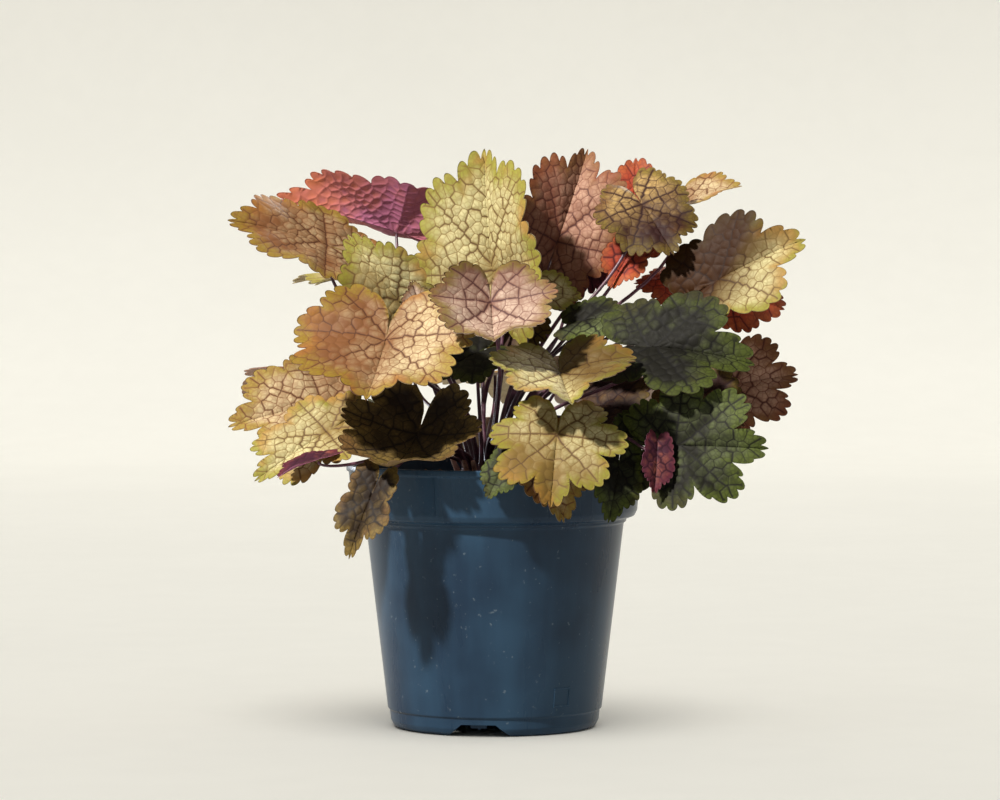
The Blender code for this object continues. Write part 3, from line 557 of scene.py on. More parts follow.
@dataclass
class VeinNet:
    """The flat blade in millimetres: its outline, its net of veins, and the points between them."""

    form: Leaf
    draws: random.Random
    margin: Margin
    points: list[Flat] = field(default_factory=list)
    kinds: list[PointKind] = field(default_factory=list)
    strengths: list[float] = field(default_factory=list)
    tones: list[float] = field(default_factory=list)
    edges: list[Pair] = field(default_factory=list)
    knots: dict[Pair, int] = field(default_factory=dict)
    taken: dict[Pair, list[Flat]] = field(default_factory=dict)

    def __post_init__(self) -> None:
        """Lays out the outline, then the veins, then what lies between them."""
        self.add_margin()
        self.add_cells(self.make_seeds())

    def spot(self, angle: float, reach: float) -> Flat:
        """The flat place at an angle from the tip in degrees and a reach on the unit blade."""
        turn, size = math.radians(angle), self.form.length * reach
        return size * math.sin(turn) * self.form.width, size * math.cos(turn)

    def share_out(self, place: Flat) -> float:
        """How far out a flat place lies.

        Args:
            place: Place across and along.

        Returns:
            A share of the way from the hub to the margin.
        """
        across, along = place[0] / self.form.width, place[1]
        edge = self.margin.reach(math.degrees(math.atan2(across, along)))
        return math.hypot(across, along) / self.form.length / edge

    def crowded(self, place: Flat, berth: float) -> bool:
        """Whether a point already lies near a place.

        Args:
            place: The place.
            berth: The least distance to keep, under 1.

        Returns:
            True where one does.
        """
        column, row = int(place[0] // 1), int(place[1] // 1)
        cells = ((column + across, row + along) for across in (-1, 0, 1) for along in (-1, 0, 1))
        return any(math.dist(other, place) < berth for cell in cells for other in self.taken.get(cell, ()))

    def add(self, place: Flat, kind: PointKind, strength: float = 0.0, tone: float = 0.5) -> int:
        """Adds a point.

        Args:
            place: Where it lies.
            kind: What it is.
            strength: How strongly it shows as a vein.
            tone: Shade of its cell.

        Returns:
            Its index.
        """
        self.points.append(place)
        self.kinds.append(kind)
        self.strengths.append(strength)
        self.tones.append(tone)
        self.taken.setdefault((int(place[0] // 1), int(place[1] // 1)), []).append(place)
        return len(self.points) - 1

    def add_margin(self) -> None:
        """Adds the outline as a loop of edges and a row of points just inside it."""
        spots = list(zip(self.margin.angles, self.margin.reaches))
        for angle, reach in spots:
            self.add(self.spot(angle, reach), PointKind.MARGIN)
        self.edges += [(index, (index + 1) % len(spots)) for index in range(len(spots))]
        for angle, reach in spots[1:-1]:
            place = self.spot(angle, reach - MARGIN_INSET * (INSET_LENGTH / self.form.length))
            if not self.crowded(place, POINT_BERTH):
                self.add(place, PointKind.INSET)

    def make_seeds(self) -> list[Seed]:
        """Places the middles of the cells in rings between the main veins.

        Returns:
            The seeds.
        """
        angles = LOBE_ANGLES[self.form.lobes]
        stops = [-180.0, *(-angle for angle in reversed(angles[1:])), *angles, 180.0]
        step = CELL_LENGTH / self.form.length
        seeds = []
        for sector, (start, end) in enumerate(zip(stops, stops[1:])):
            spread = math.radians(end - start) * self.form.length * (0.5 + self.form.width / 2)
            (ring_reach, last_reach), ring = RING_REACHES, 0
            while ring_reach < last_reach:
                count = max(1, round(ring_reach * spread / CELL_WIDTH))
                for index in range(count):
                    jitter = self.draws.uniform(-CELL_JITTER, CELL_JITTER) if 0 < index < count - 1 else 0.0
                    share = (index + 0.5 + jitter) / count
                    angle = start + (end - start) * share
                    slant = VEIN_SLANT * math.radians(end - start) * (0.5 - abs(share - 0.5))
                    stray = step * self.draws.uniform(-REACH_JITTER, REACH_JITTER)
                    reach = ring_reach * (1.0 + slant) + stray
                    if SEED_LIMITS[0] < reach < SEED_LIMITS[1] * self.margin.reach(angle):
                        seeds.append(Seed(angle, reach, sector, ring))
                ring_reach += step * (RING_GROWTH[0] + RING_GROWTH[1] * ring_reach)
                ring += 1
        return seeds

    def make_ghosts(self) -> list[Flat]:
        """Places beyond the margin that close the outermost cells.

        Returns:
            The places.
        """
        count = max(FEWEST_GHOSTS, int(2 * math.pi * self.form.length / CELL_WIDTH))
        angles = [-180.0 + 360.0 * (index + 0.5) / count for index in range(count)]
        return [self.spot(angle, GHOST_REACH * self.margin.reach(angle)) for angle in angles]

    def add_cells(self, seeds: list[Seed]) -> None:
        """Adds the veins between neighbouring cells, and the points inside each cell.

        Args:
            seeds: Middles of the cells.
        """
        middles = [self.spot(seed.angle, seed.reach) for seed in seeds]
        spots = [Vector(place) for place in middles + self.make_ghosts()]
        found, _, triangles, origins, _, _ = delaunay_2d_cdt(spots, [], [], 0, TINY)
        centres = [circumcentre(*(found[index] for index in face)) for face in triangles]
        sides: dict[Pair, list[int]] = {}
        for number, face in enumerate(triangles):
            for side in zip(face, (*face[1:], face[0])):
                sides.setdefault((min(side), max(side)), []).append(number)
        corners: dict[int, list[int]] = {}
        for side, ends in sorted(sides.items()):
            cells = [origins[index][0] for index in side]
            if max(cells) >= len(seeds) or len(ends) < 2:
                continue
            self.add_vein(centres, ends, self.strength_between(*(seeds[cell] for cell in cells)))
            for cell in cells:
                corners.setdefault(cell, []).extend(ends)
        for cell, place in enumerate(middles):
            self.add_inside(place, [centres[number] for number in sorted(set(corners.get(cell, ())))])

    def strength_between(self, first: Seed, second: Seed) -> float:
        """How strongly the vein between two cells shows.

        Args:
            first: One cell.
            second: The other.

        Returns:
            A share of 1.
        """
        strength = 1.0 - VEIN_THINNING * (first.reach + second.reach) / 2
        if first.sector != second.sector:
            return strength
        base = SIDE_VEIN if first.ring == second.ring else RING_VEINS[min(first.ring, second.ring) % 2]
        return base * strength * self.draws.uniform(*VEIN_VARIETY)

    def add_vein(self, centres: list[Vector], pair: list[int], strength: float) -> None:
        """Adds one vein with a flank on either side, cut off at the margin.

        Args:
            centres: Places where veins meet.
            pair: The two ends.
            strength: How strongly it shows.
        """
        start, end = (tuple(centres[number]) for number in pair)
        inside = [self.share_out(place) < VEIN_LIMIT for place in (start, end)]
        if not any(inside) or math.dist(start, end) < POINT_BERTH:
            return
        keys = [(pair[0], -1), (pair[1], -1)]
        if not inside[0]:
            start, keys[0] = self.cut_off(end, start), (pair[0], pair[1])
        if not inside[1]:
            end, keys[1] = self.cut_off(start, end), (pair[1], pair[0])
        length = max(math.dist(start, end), TINY)
        steps = max(1, math.ceil(length / VEIN_STEP))
        normal = ((start[1] - end[1]) / length, (end[0] - start[0]) / length)
        last = self.knot(start, keys[0], strength)
        for step in range(1, steps + 1):
            if step < steps:
                wander = self.draws.uniform(-VEIN_WANDER, VEIN_WANDER)
                across, along = between(start, end, step / steps)
                place = (across + normal[0] * wander, along + normal[1] * wander)
                index = self.add(place, PointKind.VEIN, strength)
            else:
                index = self.knot(end, keys[1], strength)
            if index != last:
                self.edges.append((last, index))
            self.add_flanks(self.points[last], self.points[index], normal, strength)
            last = index

    def knot(self, place: Flat, key: Pair, strength: float) -> int:
        """The point where veins meet, made once.

        Args:
            place: Where it lies.
            key: What names the point.
            strength: How strongly it shows.

        Returns:
            Its index.
        """
        if key not in self.knots:
            self.knots[key] = self.add(place, PointKind.VEIN, strength)
        index = self.knots[key]
        self.strengths[index] = max(self.strengths[index], strength)
        return index

    def cut_off(self, inside: Flat, outside: Flat, rounds: int = 12) -> Flat:
        """Where a vein that runs out of the blade ends.

        Args:
            inside: Its end inside the margin.
            outside: Its end beyond it.
            rounds: How often the place is narrowed down.

        Returns:
            A place just inside the margin.
        """
        low, high = 0.0, 1.0
        for _ in range(rounds):
            share = (low + high) / 2
            beyond = self.share_out(between(inside, outside, share)) >= VEIN_END
            low, high = (low, share) if beyond else (share, high)
        return between(inside, outside, low)

    def add_flanks(self, start: Flat, end: Flat, normal: Flat, strength: float) -> None:
        """Adds the points beside a stretch of vein, where its colour fades out.

        Args:
            start: One end of the stretch.
            end: The other end.
            normal: Unit vector across it.
            strength: How strongly the vein shows.
        """
        reach = FLANK_WIDTHS[0] + FLANK_WIDTHS[1] * strength**2
        for share in FLANK_SHARES:
            across, along = between(start, end, share)
            for sign in (-1, 1):
                step = [sign * part * VEIN_FLANK * reach for part in normal]
                place = (across + step[0], along + step[1])
                if self.share_out(place) < FLANK_LIMIT and not self.crowded(place, POINT_BERTH):
                    self.add(place, PointKind.FLANK, FLANK_STRENGTH * strength**2)

    def add_inside(self, middle: Flat, corners: list[Vector]) -> None:
        """Adds the middle of a cell and a ring of points round it.

        Args:
            middle: Place of the middle.
            corners: Corners of the cell.
        """
        tone = self.draws.random()
        if not self.crowded(middle, POINT_BERTH * 2):
            self.add(middle, PointKind.MIDDLE, 0.0, tone)
        for corner in corners:
            reach = max(math.dist(middle, corner), SHORTEST_REACH)
            share = min(CELL_RING_SHARE, CELL_RING_REACH * CELL_RING_SHARE / reach)
            place = between(middle, corner, share)
            if self.share_out(place) < CELL_LIMIT and not self.crowded(place, POINT_BERTH * 1.5):
                self.add(place, PointKind.RING, 0.0, tone)


def circumcentre(first: Vector, second: Vector, third: Vector) -> Vector:
    """The middle of the circle through three flat points.

    Args:
        first: One point.
        second: Another.
        third: The last.

    Returns:
        The middle.
    """
    one, two = second - first, third - first
    area = 2.0 * (one.x * two.y - one.y * two.x)
    if abs(area) < FLAT_AREA:
        return (first + second + third) / 3
    across = (two.y * one.length_squared - one.y * two.length_squared) / area
    along = (one.x * two.length_squared - two.x * one.length_squared) / area
    return first + Vector((across, along))


@dataclass
class Blade:
    """One leaf blade: a thin shell whose two faces carry the same net."""

    form: Leaf
    number: int
    crossing: float = 0.8
    middle_tone: float = 0.5

    def build(self) -> bpy.types.Object:
        """Builds the blade in place of its solid.

        Returns:
            The new piece.
        """
        draws = random.Random(FIRST_SEED + self.number)
        net = VeinNet(self.form, draws, Margin(self.form, draws))
        spots = [Vector(place) for place in net.points]
        found, _, faces, origins, _, _ = delaunay_2d_cdt(spots, net.edges, [], 1, TINY)
        kinds = [net.kinds[origin[0]] if origin else PointKind.VEIN for origin in origins]
        strengths = [max((net.strengths[i] for i in origin), default=self.crossing) for origin in origins]
        tones = [net.tones[origin[0]] if origin else self.middle_tone for origin in origins]
        flat = np.array([tuple(place) for place in found]) / self.form.length
        masks = {
            "vein": np.clip(strengths, 0, 1),
            "tone": np.array(tones),
            "outward": np.clip([net.share_out(place) for place in flat * self.form.length], 0, 1),
            "edge": np.array([float(kind is PointKind.MARGIN) for kind in kinds]),
        }
        places = self.both_sides(flat, np.array([kind.value for kind in kinds]), masks)
        mesh = bpy.data.meshes.new(f"blade_{self.form.name}")
        mesh.from_pydata((places * MM).tolist(), [], self.shell(faces, origins, len(net.margin.angles)))
        mesh.shade_smooth()
        lit_side = LIT_SIDES.get(self.form.name, LitSide())
        # Painted light: how far each point lies on the blade's lit side.
        masks["lit"] = self.lit_share(flat, lit_side)
        # Painted shade: how strongly the rest of the blade, away from its lit side, is darkened.
        masks["dusk"] = lit_side.dusk * (1.0 - masks["lit"])
        masks = {name: np.tile(values, 2) for name, values in masks.items()}
        masks["under"] = np.repeat([0.0, 1.0], len(found))
        for name, values in masks.items():
            mesh.attributes.new(name, "FLOAT", "POINT").data.foreach_set("value", values.astype(np.float32))
        return add_object(mesh.name, mesh)

    def both_sides(self, flat: np.ndarray, puff: np.ndarray, masks: dict[str, np.ndarray]) -> np.ndarray:
        """Places of the upper and then the lower points, with puffed cells above and ribs below.

        Args:
            flat: Places on the flat unit blade.
            puff: Share of its cell's puff that each point takes.
            masks: The masks of the points.

        Returns:
            One row of three numbers for each point, in millimetres.
        """
        surface = BladeSurface(self.form, PHASE_STEP * self.number)
        surface.follow_solid()
        middle, normal = surface.place(*flat.T), surface.normals(*flat.T)
        size = min(1.0, self.form.length / FULL_RELIEF_LENGTH)
        puff = puff * (PUFF_BY_TONE[0] + PUFF_BY_TONE[1] * masks["tone"])
        puff = puff * (1.0 - PUFF_FADE * masks["outward"] ** 5)
        raised = (PUFF * size * puff)[:, None] * normal
        half = np.where(masks["edge"] > 0, EDGE_THICKNESS, BLADE_THICKNESS)[:, None] / 2 * normal
        rib = (RIB * size * masks["vein"] ** 2 * (1 - masks["edge"]))[:, None] * normal
        return np.concatenate([middle + raised + half, middle + raised * UNDER_PUFF - half - rib])

    def shell(self, faces: list[list[int]], origins: list[list[int]], count: int) -> list[tuple[int, ...]]:
        """Faces of both sides and of the margin between them.

        Args:
            faces: Faces of the upper side.
            origins: Points of the net that each of its points stands for.
            count: Points of the margin.

        Returns:
            The faces.
        """
        total = len(origins)
        rim = [0] * count
        for index, origin in enumerate(origins):
            for source in origin:
                if source < count:
                    rim[source] = index
        shell = [tuple(face) for face in faces]
        shell += [tuple(index + total for index in reversed(face)) for face in faces]
        sides = zip(rim, (*rim[1:], rim[0]))
        return shell + [(end, start, start + total, end + total) for start, end in sides if start != end]

    def lit_share(self, flat: np.ndarray, lit_side: LitSide) -> np.ndarray:
        """How far each point lies in the blade's painted lit side.

        Args:
            flat: Places on the flat unit blade.
            lit_side: Where that part lies.

        Returns:
            A share of 1 for each point.
        """
        turn = math.radians(lit_side.angle)
        forward = flat[:, 0] * math.sin(turn) + flat[:, 1] * math.cos(turn)
        return np.clip(lit_side.share + forward / lit_side.softness, 0.0, 1.0)


@dataclass
class Desk:
    """Short ways to add shader nodes to one tree."""

    tree: bpy.types.NodeTree

    def add(self, kind: str, inputs: Inputs | None = None, **values: object) -> bpy.types.Node:
        """Adds a node.

        Args:
            kind: Its type, after the word ShaderNode.
            inputs: For each input, the socket that feeds it or its value.
            **values: Properties to set on it.

        Returns:
            The node.
        """
        made = self.tree.nodes.new(f"ShaderNode{kind}")
        for name, value in values.items():
            setattr(made, name, value)
        self.feed(made, inputs or {})
        return made

    def feed(self, node: bpy.types.Node, inputs: Inputs) -> None:
        """Joins or sets the inputs of a node.

        Args:
            node: The node.
            inputs: For each input, the socket that feeds it or its value.
        """
        for name, value in inputs.items():
            if isinstance(value, Socket):
                self.tree.links.new(value, node.inputs[name])
            else:
                node.inputs[name].default_value = value

    def mix(self, share: Socket, first: Socket | tuple, second: Socket | tuple, blend: str = "MIX") -> Socket:
        """The second colour laid on the first by a share."""
        inputs = {0: share, 6: first, 7: second}
        return self.add("Mix", inputs, data_type="RGBA", blend_type=blend).outputs[2]

    def reckon(self, operation: str, *values: Socket | float, clamp: bool = False) -> Socket:
        """One step of arithmetic on values that change over the surface."""
        return self.add("Math", dict(enumerate(values)), operation=operation, use_clamp=clamp).outputs[0]

    def ramp(self, value: Socket, low: float, high: float, strength: float = 1.0) -> Socket:
        """Stretches a range of values smoothly to run from 0 to a strength."""
        inputs = {0: value, 1: low, 2: high, 4: strength}
        return self.add("MapRange", inputs, interpolation_type="SMOOTHSTEP").outputs[0]

    def pattern(self, kind: str, per_metre: float, **values: object) -> bpy.types.Node:
        """A texture over the object's own coordinates."""
        inputs = {"Vector": self.add("TexCoord").outputs["Object"], "Scale": per_metre}
        return self.add(kind, inputs, **values)

    def noise(self, per_metre: float, detail: float = 3.0) -> Socket:
        """Noise over the object's own coordinates.

        Args:
            per_metre: Lumps in a metre.
            detail: How many finer layers it has.

        Returns:
            Its value.
        """
        made = self.pattern("TexNoise", per_metre)
        self.feed(made, {"Detail": detail})
        return made.outputs["Fac"]

    def finish(self, colour: Socket, rough: Socket, height: Socket, relief: Flat, specular: float) -> None:
        """Joins a pattern to the Principled shader.

        Args:
            colour: Base colour.
            rough: Roughness.
            height: Height of the relief.
            relief: Strength of the relief and its depth in metres.
            specular: Specular level.
        """
        bump = self.add("Bump", {"Strength": relief[0], "Distance": relief[1], "Height": height})
        inputs = {"Base Color": colour, "Roughness": rough, "Normal": bump.outputs["Normal"]}
        self.feed(self.tree.nodes["Principled BSDF"], inputs | {"Specular IOR Level": specular})


def new_material(name: str) -> bpy.types.Material:
    """An empty material with nodes.

    Args:
        name: Its name.

    Returns:
        The material.
    """
    made = bpy.data.materials.new(name)
    made.use_nodes = True
    return made


@dataclass(frozen=True)
class Layer:
    """A colour laid over a blade where a mask runs from low to high, up to a strength."""

    mask: str
    low: float
    high: float
    strength: float
    colour: str


LAYERS = (
    Layer("rim", 0.66, 0.96, 0.88, "Edging"),
    Layer("outward", 0.34, 0.02, 0.62, "Deep"),
    Layer("vein", 0.0, 0.26, 0.66, "Deep"),
    Layer("hairs", 0.20, 0.03, 0.34, "Deep"),
    Layer("vein", 0.12, 0.85, 0.94, "Vein"),
    Layer("edge", 0.35, 1.0, 0.55, "Vein"),
)


@dataclass
class BladePattern:
    """Colour and relief of a net-veined blade, from the masks that its mesh carries, as a shared group."""

    mottle: float = 55.0
    grain: float = 420.0
    blush: Layer = Layer("patches", 0.50, 0.62, 0.75, "Blush")
    blush_patches: float = 34.0
    hair_net: float = 340.0
    lit_by_mottle: float = 1.3
    lit_by_tone: float = 0.40
    rim_by_mottle: float = 0.34
    under_veins: Layer = Layer("vein", 0.1, 0.9, 0.35, "Vein")
    rough_by_grain: float = 0.22

    def build(self) -> bpy.types.NodeTree:
        """Makes the group.

        Returns:
            The group.
        """
        group = bpy.data.node_groups.new("net_veined_blade", "ShaderNodeTree")
        for name in ("Cell", "Deep", "Margin", "Vein", "Under", "Blush", "Dusk"):
            group.interface.new_socket(name=name, in_out="INPUT", socket_type="NodeSocketColor")
        group.interface.new_socket(name="Roughness", in_out="INPUT", socket_type="NodeSocketFloat")
        group.interface.new_socket(name="Color", in_out="OUTPUT", socket_type="NodeSocketColor")
        for name in ("Roughness", "Height"):
            group.interface.new_socket(name=name, in_out="OUTPUT", socket_type="NodeSocketFloat")
        given, out = (group.nodes.new(kind) for kind in ("NodeGroupInput", "NodeGroupOutput"))
        desk, colours = Desk(group), {socket.name: socket for socket in given.outputs if socket.name}
        names = ("vein", "tone", "outward", "edge", "lit", "dusk", "under")
        masks = {name: desk.add("Attribute", attribute_name=name).outputs["Fac"] for name in names}
        mottle, grain = desk.noise(self.mottle), desk.noise(self.grain, 4.0)
        lit = self.stir(desk, masks["lit"], mottle, self.lit_by_mottle)
        lit = self.stir(desk, lit, masks["tone"], self.lit_by_tone, clamp=True)
        masks["patches"] = desk.noise(self.blush_patches)
        colours["Edging"] = self.lay(desk, self.blush, masks, colours["Margin"], colours)
        masks["rim"] = self.stir(desk, masks["outward"], mottle, self.rim_by_mottle)
        hairs = desk.pattern("TexVoronoi", self.hair_net, feature="DISTANCE_TO_EDGE")
        masks["hairs"] = hairs.outputs["Distance"]
        # Painted light and shade: the lit side takes the cell colour and the rest the deep colour.
        face = desk.mix(lit, colours["Deep"], colours["Cell"])
        for layer in LAYERS:
            face = self.lay(desk, layer, masks, face, colours)
        # The underside is painted the same way, lit in the cell colour and shaded in the underside colour.
        back = desk.mix(lit, colours["Under"], colours["Cell"])
        back = self.lay(desk, self.under_veins, masks, back, colours)
        # Painted shade: the shaded part of the upper side is multiplied by the painted shade colour.
        face = desk.mix(masks["dusk"], face, colours["Dusk"], "MULTIPLY")
        rough = self.stir(desk, colours["Roughness"], grain, self.rough_by_grain)
        desk.feed(out, {"Color": desk.mix(masks["under"], face, back), "Roughness": rough, "Height": grain})
        return group

    def stir(self, desk: Desk, value: Socket, by: Socket, share: float, clamp: bool = False) -> Socket:
        """Moves a value up or down by up to half a share, as another value runs from 0 to 1."""
        return desk.reckon("MULTIPLY_ADD", by, share, desk.reckon("ADD", value, -share / 2), clamp=clamp)

    def lay(
        self, desk: Desk, layer: Layer, masks: dict[str, Socket], under: Socket, colours: dict[str, Socket]
    ) -> Socket:
        """Lays one layer over a colour."""
        share = desk.ramp(masks[layer.mask], layer.low, layer.high, layer.strength)
        return desk.mix(share, under, colours[layer.colour])


def dress(finish: BladeFinish, group: bpy.types.NodeTree) -> bpy.types.Material:
    """The material of one kind of blade.

    Args:
        finish: Its colours.
        group: The group that lays them out.

    Returns:
        The material.
    """
    made = new_material(f"{finish.slot}_net")
    desk = Desk(made.node_tree)
    inputs = {"Dusk": (*PAINTED_SHADE_COLOUR, 1.0), "Roughness": finish.roughness}
    for name in ("cell", "deep", "margin", "vein", "under", "blush"):
        pigment = (part * PIGMENT for part in srgb(*getattr(finish, name)))
        inputs[name.capitalize()] = (*pigment, 1.0)
    given = desk.add("Group", node_tree=group)
    desk.feed(given, inputs)
    colour, rough, height = (given.outputs[name] for name in ("Color", "Roughness", "Height"))
    desk.finish(colour, rough, height, (0.12, 0.0004), 0.16)
    return made


@dataclass(frozen=True)
class NoiseFinish:
    """A material whose colour, roughness and relief all follow noise. Lengths are metres."""

    name: str
    dark: Triple
    pale: Triple
    per_metre: float
    roughness: float
    depth: float

    def make(self) -> bpy.types.Material:
        """Makes the material.

        Returns:
            The material.
        """
        made = new_material(self.name)
        desk = Desk(made.node_tree)
        broad, fine = desk.noise(self.per_metre), desk.noise(self.per_metre * 9, 4.0)
        share = desk.reckon("MULTIPLY_ADD", fine, 0.4, desk.reckon("MULTIPLY", broad, 0.6))
        colour = desk.mix(desk.ramp(share, 0.35, 0.65), (*srgb(*self.dark), 1.0), (*srgb(*self.pale), 1.0))
        rough = desk.reckon("MULTIPLY_ADD", fine, 0.2, self.roughness - 0.1)
        desk.finish(colour, rough, fine, (0.5, self.depth), 0.5)
        return made


STALK_SKIN = NoiseFinish("stalk_skin", (40, 19, 33), (102, 63, 80), 34.0, 0.42, 0.0003)
DRY_STALK = NoiseFinish("dry_stalk", (150, 104, 96), (208, 172, 158), 190.0, 0.7, 0.0003)
PEAT = NoiseFinish("peat", (38, 27, 20), (82, 60, 44), 320.0, 0.95, 0.002)
PALE_FLOOR = NoiseFinish("pale_floor", (250, 248, 243), (252, 250, 245), 3.0, 0.9, 0.0001)


@dataclass(frozen=True)
class PotPlastic:
    """Dark petrol plastic with faint vertical streaks, pale scuffs and a little dust."""

    dark: Triple = (27, 44, 63)
    pale: Triple = (40, 64, 86)
    dust: Triple = (118, 130, 138)
    streak_scale: Triple = (60.0, 60.0, 5.0)

    def make(self) -> bpy.types.Material:
        """Makes the material.

        Returns:
            The material.
        """
        made = new_material("petrol_plastic")
        desk = Desk(made.node_tree)
        place = desk.add("TexCoord").outputs["Object"]
        stretched = desk.add("Mapping", {"Vector": place, "Scale": self.streak_scale}).outputs["Vector"]
        streaks = desk.add("TexNoise", {"Vector": stretched, "Scale": 1.0, "Detail": 5.0}).outputs["Fac"]
        broad, fine = desk.noise(14.0), desk.noise(900.0, 2.0)
        dust = desk.ramp(desk.noise(330.0, 5.0), 0.66, 0.75, 0.35)
        share = desk.reckon("MULTIPLY_ADD", streaks, 0.3, desk.reckon("MULTIPLY", broad, 0.7))
        share = desk.ramp(share, 0.36, 0.64)
        dark, pale, scuff = ((*srgb(*colour), 1.0) for colour in (self.dark, self.pale, self.dust))
        colour = desk.mix(dust, desk.mix(share, dark, pale), scuff)
        rough = desk.reckon("MULTIPLY_ADD", streaks, 0.18, desk.reckon("MULTIPLY_ADD", dust, 0.5, 0.20))
        desk.finish(colour, rough, desk.reckon("MULTIPLY_ADD", streaks, 1.5, fine), (0.10, 0.0003), 0.16)
        return made


def add_object(name: str, data: bpy.types.ID) -> bpy.types.Object:
    """Puts an object into the scene.

    Args:
        name: Its name.
        data: Its mesh, light or camera.

    Returns:
        The object.
    """
    made = bpy.data.objects.new(name, data)
    bpy.context.scene.collection.objects.link(made)
    return made


def object_from(shape: Shape, name: str) -> bpy.types.Object:
    """Turns a finished mesh under construction, which is freed, into an object.

    Args:
        shape: The mesh under construction.
        name: Name of the object.

    Returns:
        The object.
    """
    mesh = bpy.data.meshes.new(name)
    shape.to_mesh(mesh)
    shape.free()
    return add_object(name, mesh)


def settle_modifiers(item: bpy.types.Object) -> None:
    """Replaces an object's mesh by the one that its modifiers make.

    Args:
        item: The object.
    """
    graph = bpy.context.evaluated_depsgraph_get()
    item.data = bpy.data.meshes.new_from_object(item.evaluated_get(graph))
    item.modifiers.clear()


def report(piece: bpy.types.Object) -> None:
    """Logs how many triangles a piece has."""
    LOG.info("%s: %d triangles", piece.name, sum(len(face.vertices) - 2 for face in piece.data.polygons))


@dataclass
class Foliage:
    """Every blade of the plant."""

    leaves: tuple[Leaf, ...] = LEAVES

    def build(self) -> None:
        """Builds and dresses the blades."""
        group = BladePattern().build()
        materials = {hue: dress(hue.value, group) for hue in Hue}
        for number, form in enumerate(self.leaves):
            piece = Blade(form, number).build()
            piece.data.materials.append(materials[form.hue])
            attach(piece, BODY)
            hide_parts(f"leaf_{form.name}")
            report(piece)


@dataclass
class Stalks:
    """The crown and its stalks: the solid's own form, rounded, and the dry stubs of old stalks."""

    node: str = "crown_and_stalks"
    levels: int = 2
    merge_distance: float = 0.00001
    stub_ring: float = 14.0
    stub_foot: float = 141.0
    stub_angles: tuple[float, ...] = (-126.0, -108.0, -62.0, 20.0, 100.0, 160.0)
    stub_lengths: Flat = (11.0, 17.0)
    stub_leans: Flat = (12.0, 30.0)
    stub_foot_radii: Flat = (1.7, 2.2)
    stub_head_radii: Flat = (1.1, 1.5)
    stub_seed: int = 19

    def build(self) -> None:
        """Builds and dresses both pieces."""
        shape = bmesh.new()
        shape.from_mesh(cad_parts[self.node].data)
        bmesh.ops.remove_doubles(shape, verts=shape.verts, dist=self.merge_distance)
        ignored = dict.fromkeys(("cmp_seam", "cmp_sharp", "cmp_uvs", "cmp_vcols", "cmp_materials"), False)
        limits = {"angle_face_threshold": 0.6, "angle_shape_threshold": 1.2}
        bmesh.ops.join_triangles(shape, faces=shape.faces, **ignored, **limits)
        piece = object_from(shape, "stalks_and_crown")
        piece.data.materials.append(STALK_SKIN.make())
        piece.data.shade_smooth()
        rounding = piece.modifiers.new("rounding", "SUBSURF")
        rounding.levels = rounding.render_levels = self.levels
        settle_modifiers(piece)
        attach(piece, BODY)
        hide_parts(self.node)
        report(piece)
        self.add_stubs()

    def add_stubs(self) -> None:
        """Builds and dresses the dry pale stubs that old stalks left on the crown."""
        draws = random.Random(self.stub_seed)
        shape = bmesh.new()
        for angle in self.stub_angles:
            length = draws.uniform(*self.stub_lengths)
            turn = math.radians(angle)
            spot = (CROWN[0] + self.stub_ring * math.cos(turn), CROWN[1] + self.stub_ring * math.sin(turn))
            place = Matrix.Translation(Vector((*spot, self.stub_foot)) * MM) @ Matrix.Rotation(turn, 4, "Z")
            place @= Matrix.Rotation(math.radians(draws.uniform(*self.stub_leans)), 4, "Y")
            place @= Matrix.Translation((0.0, 0.0, length / 2 * MM))
            radii = draws.uniform(*self.stub_foot_radii) * MM, draws.uniform(*self.stub_head_radii) * MM
            add_cone(shape, radii, length * MM, 12, place)
        piece = object_from(shape, "old_stalk_stubs")
        piece.data.materials.append(DRY_STALK.make())
        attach(piece, BODY)
        report(piece)


def add_cone(shape: Shape, radii: Flat, depth: float, segments: int, place: Matrix) -> None:
    """Adds a closed cone or cylinder, with its radii at the foot and the head, to a mesh."""
    sizes = {"radius1": radii[0], "radius2": radii[1], "depth": depth}
    bmesh.ops.create_cone(shape, cap_ends=True, segments=segments, matrix=place, **sizes)


def rounded(profile: list[Flat], radius: float, steps: int = 3) -> list[Flat]:
    """Rounds the corners of an open profile.

    Args:
        profile: Radius and height of each corner.
        radius: How far from a corner its rounding starts, at most.
        steps: Pieces of each rounding.

    Returns:
        The rounded profile.
    """
    found = [profile[0]]
    for before, corner, after in zip(profile, profile[1:], profile[2:]):
        middle = Vector(corner)
        start, end = (
            middle + side.normalized() * min(radius, side.length * 0.4)
            for side in (Vector(before) - middle, Vector(after) - middle)
        )
        for share in (step / steps for step in range(steps + 1)):
            found.append(tuple(start * (1 - share) ** 2 + middle * 2 * share * (1 - share) + end * share**2))
    return found + [profile[-1]]


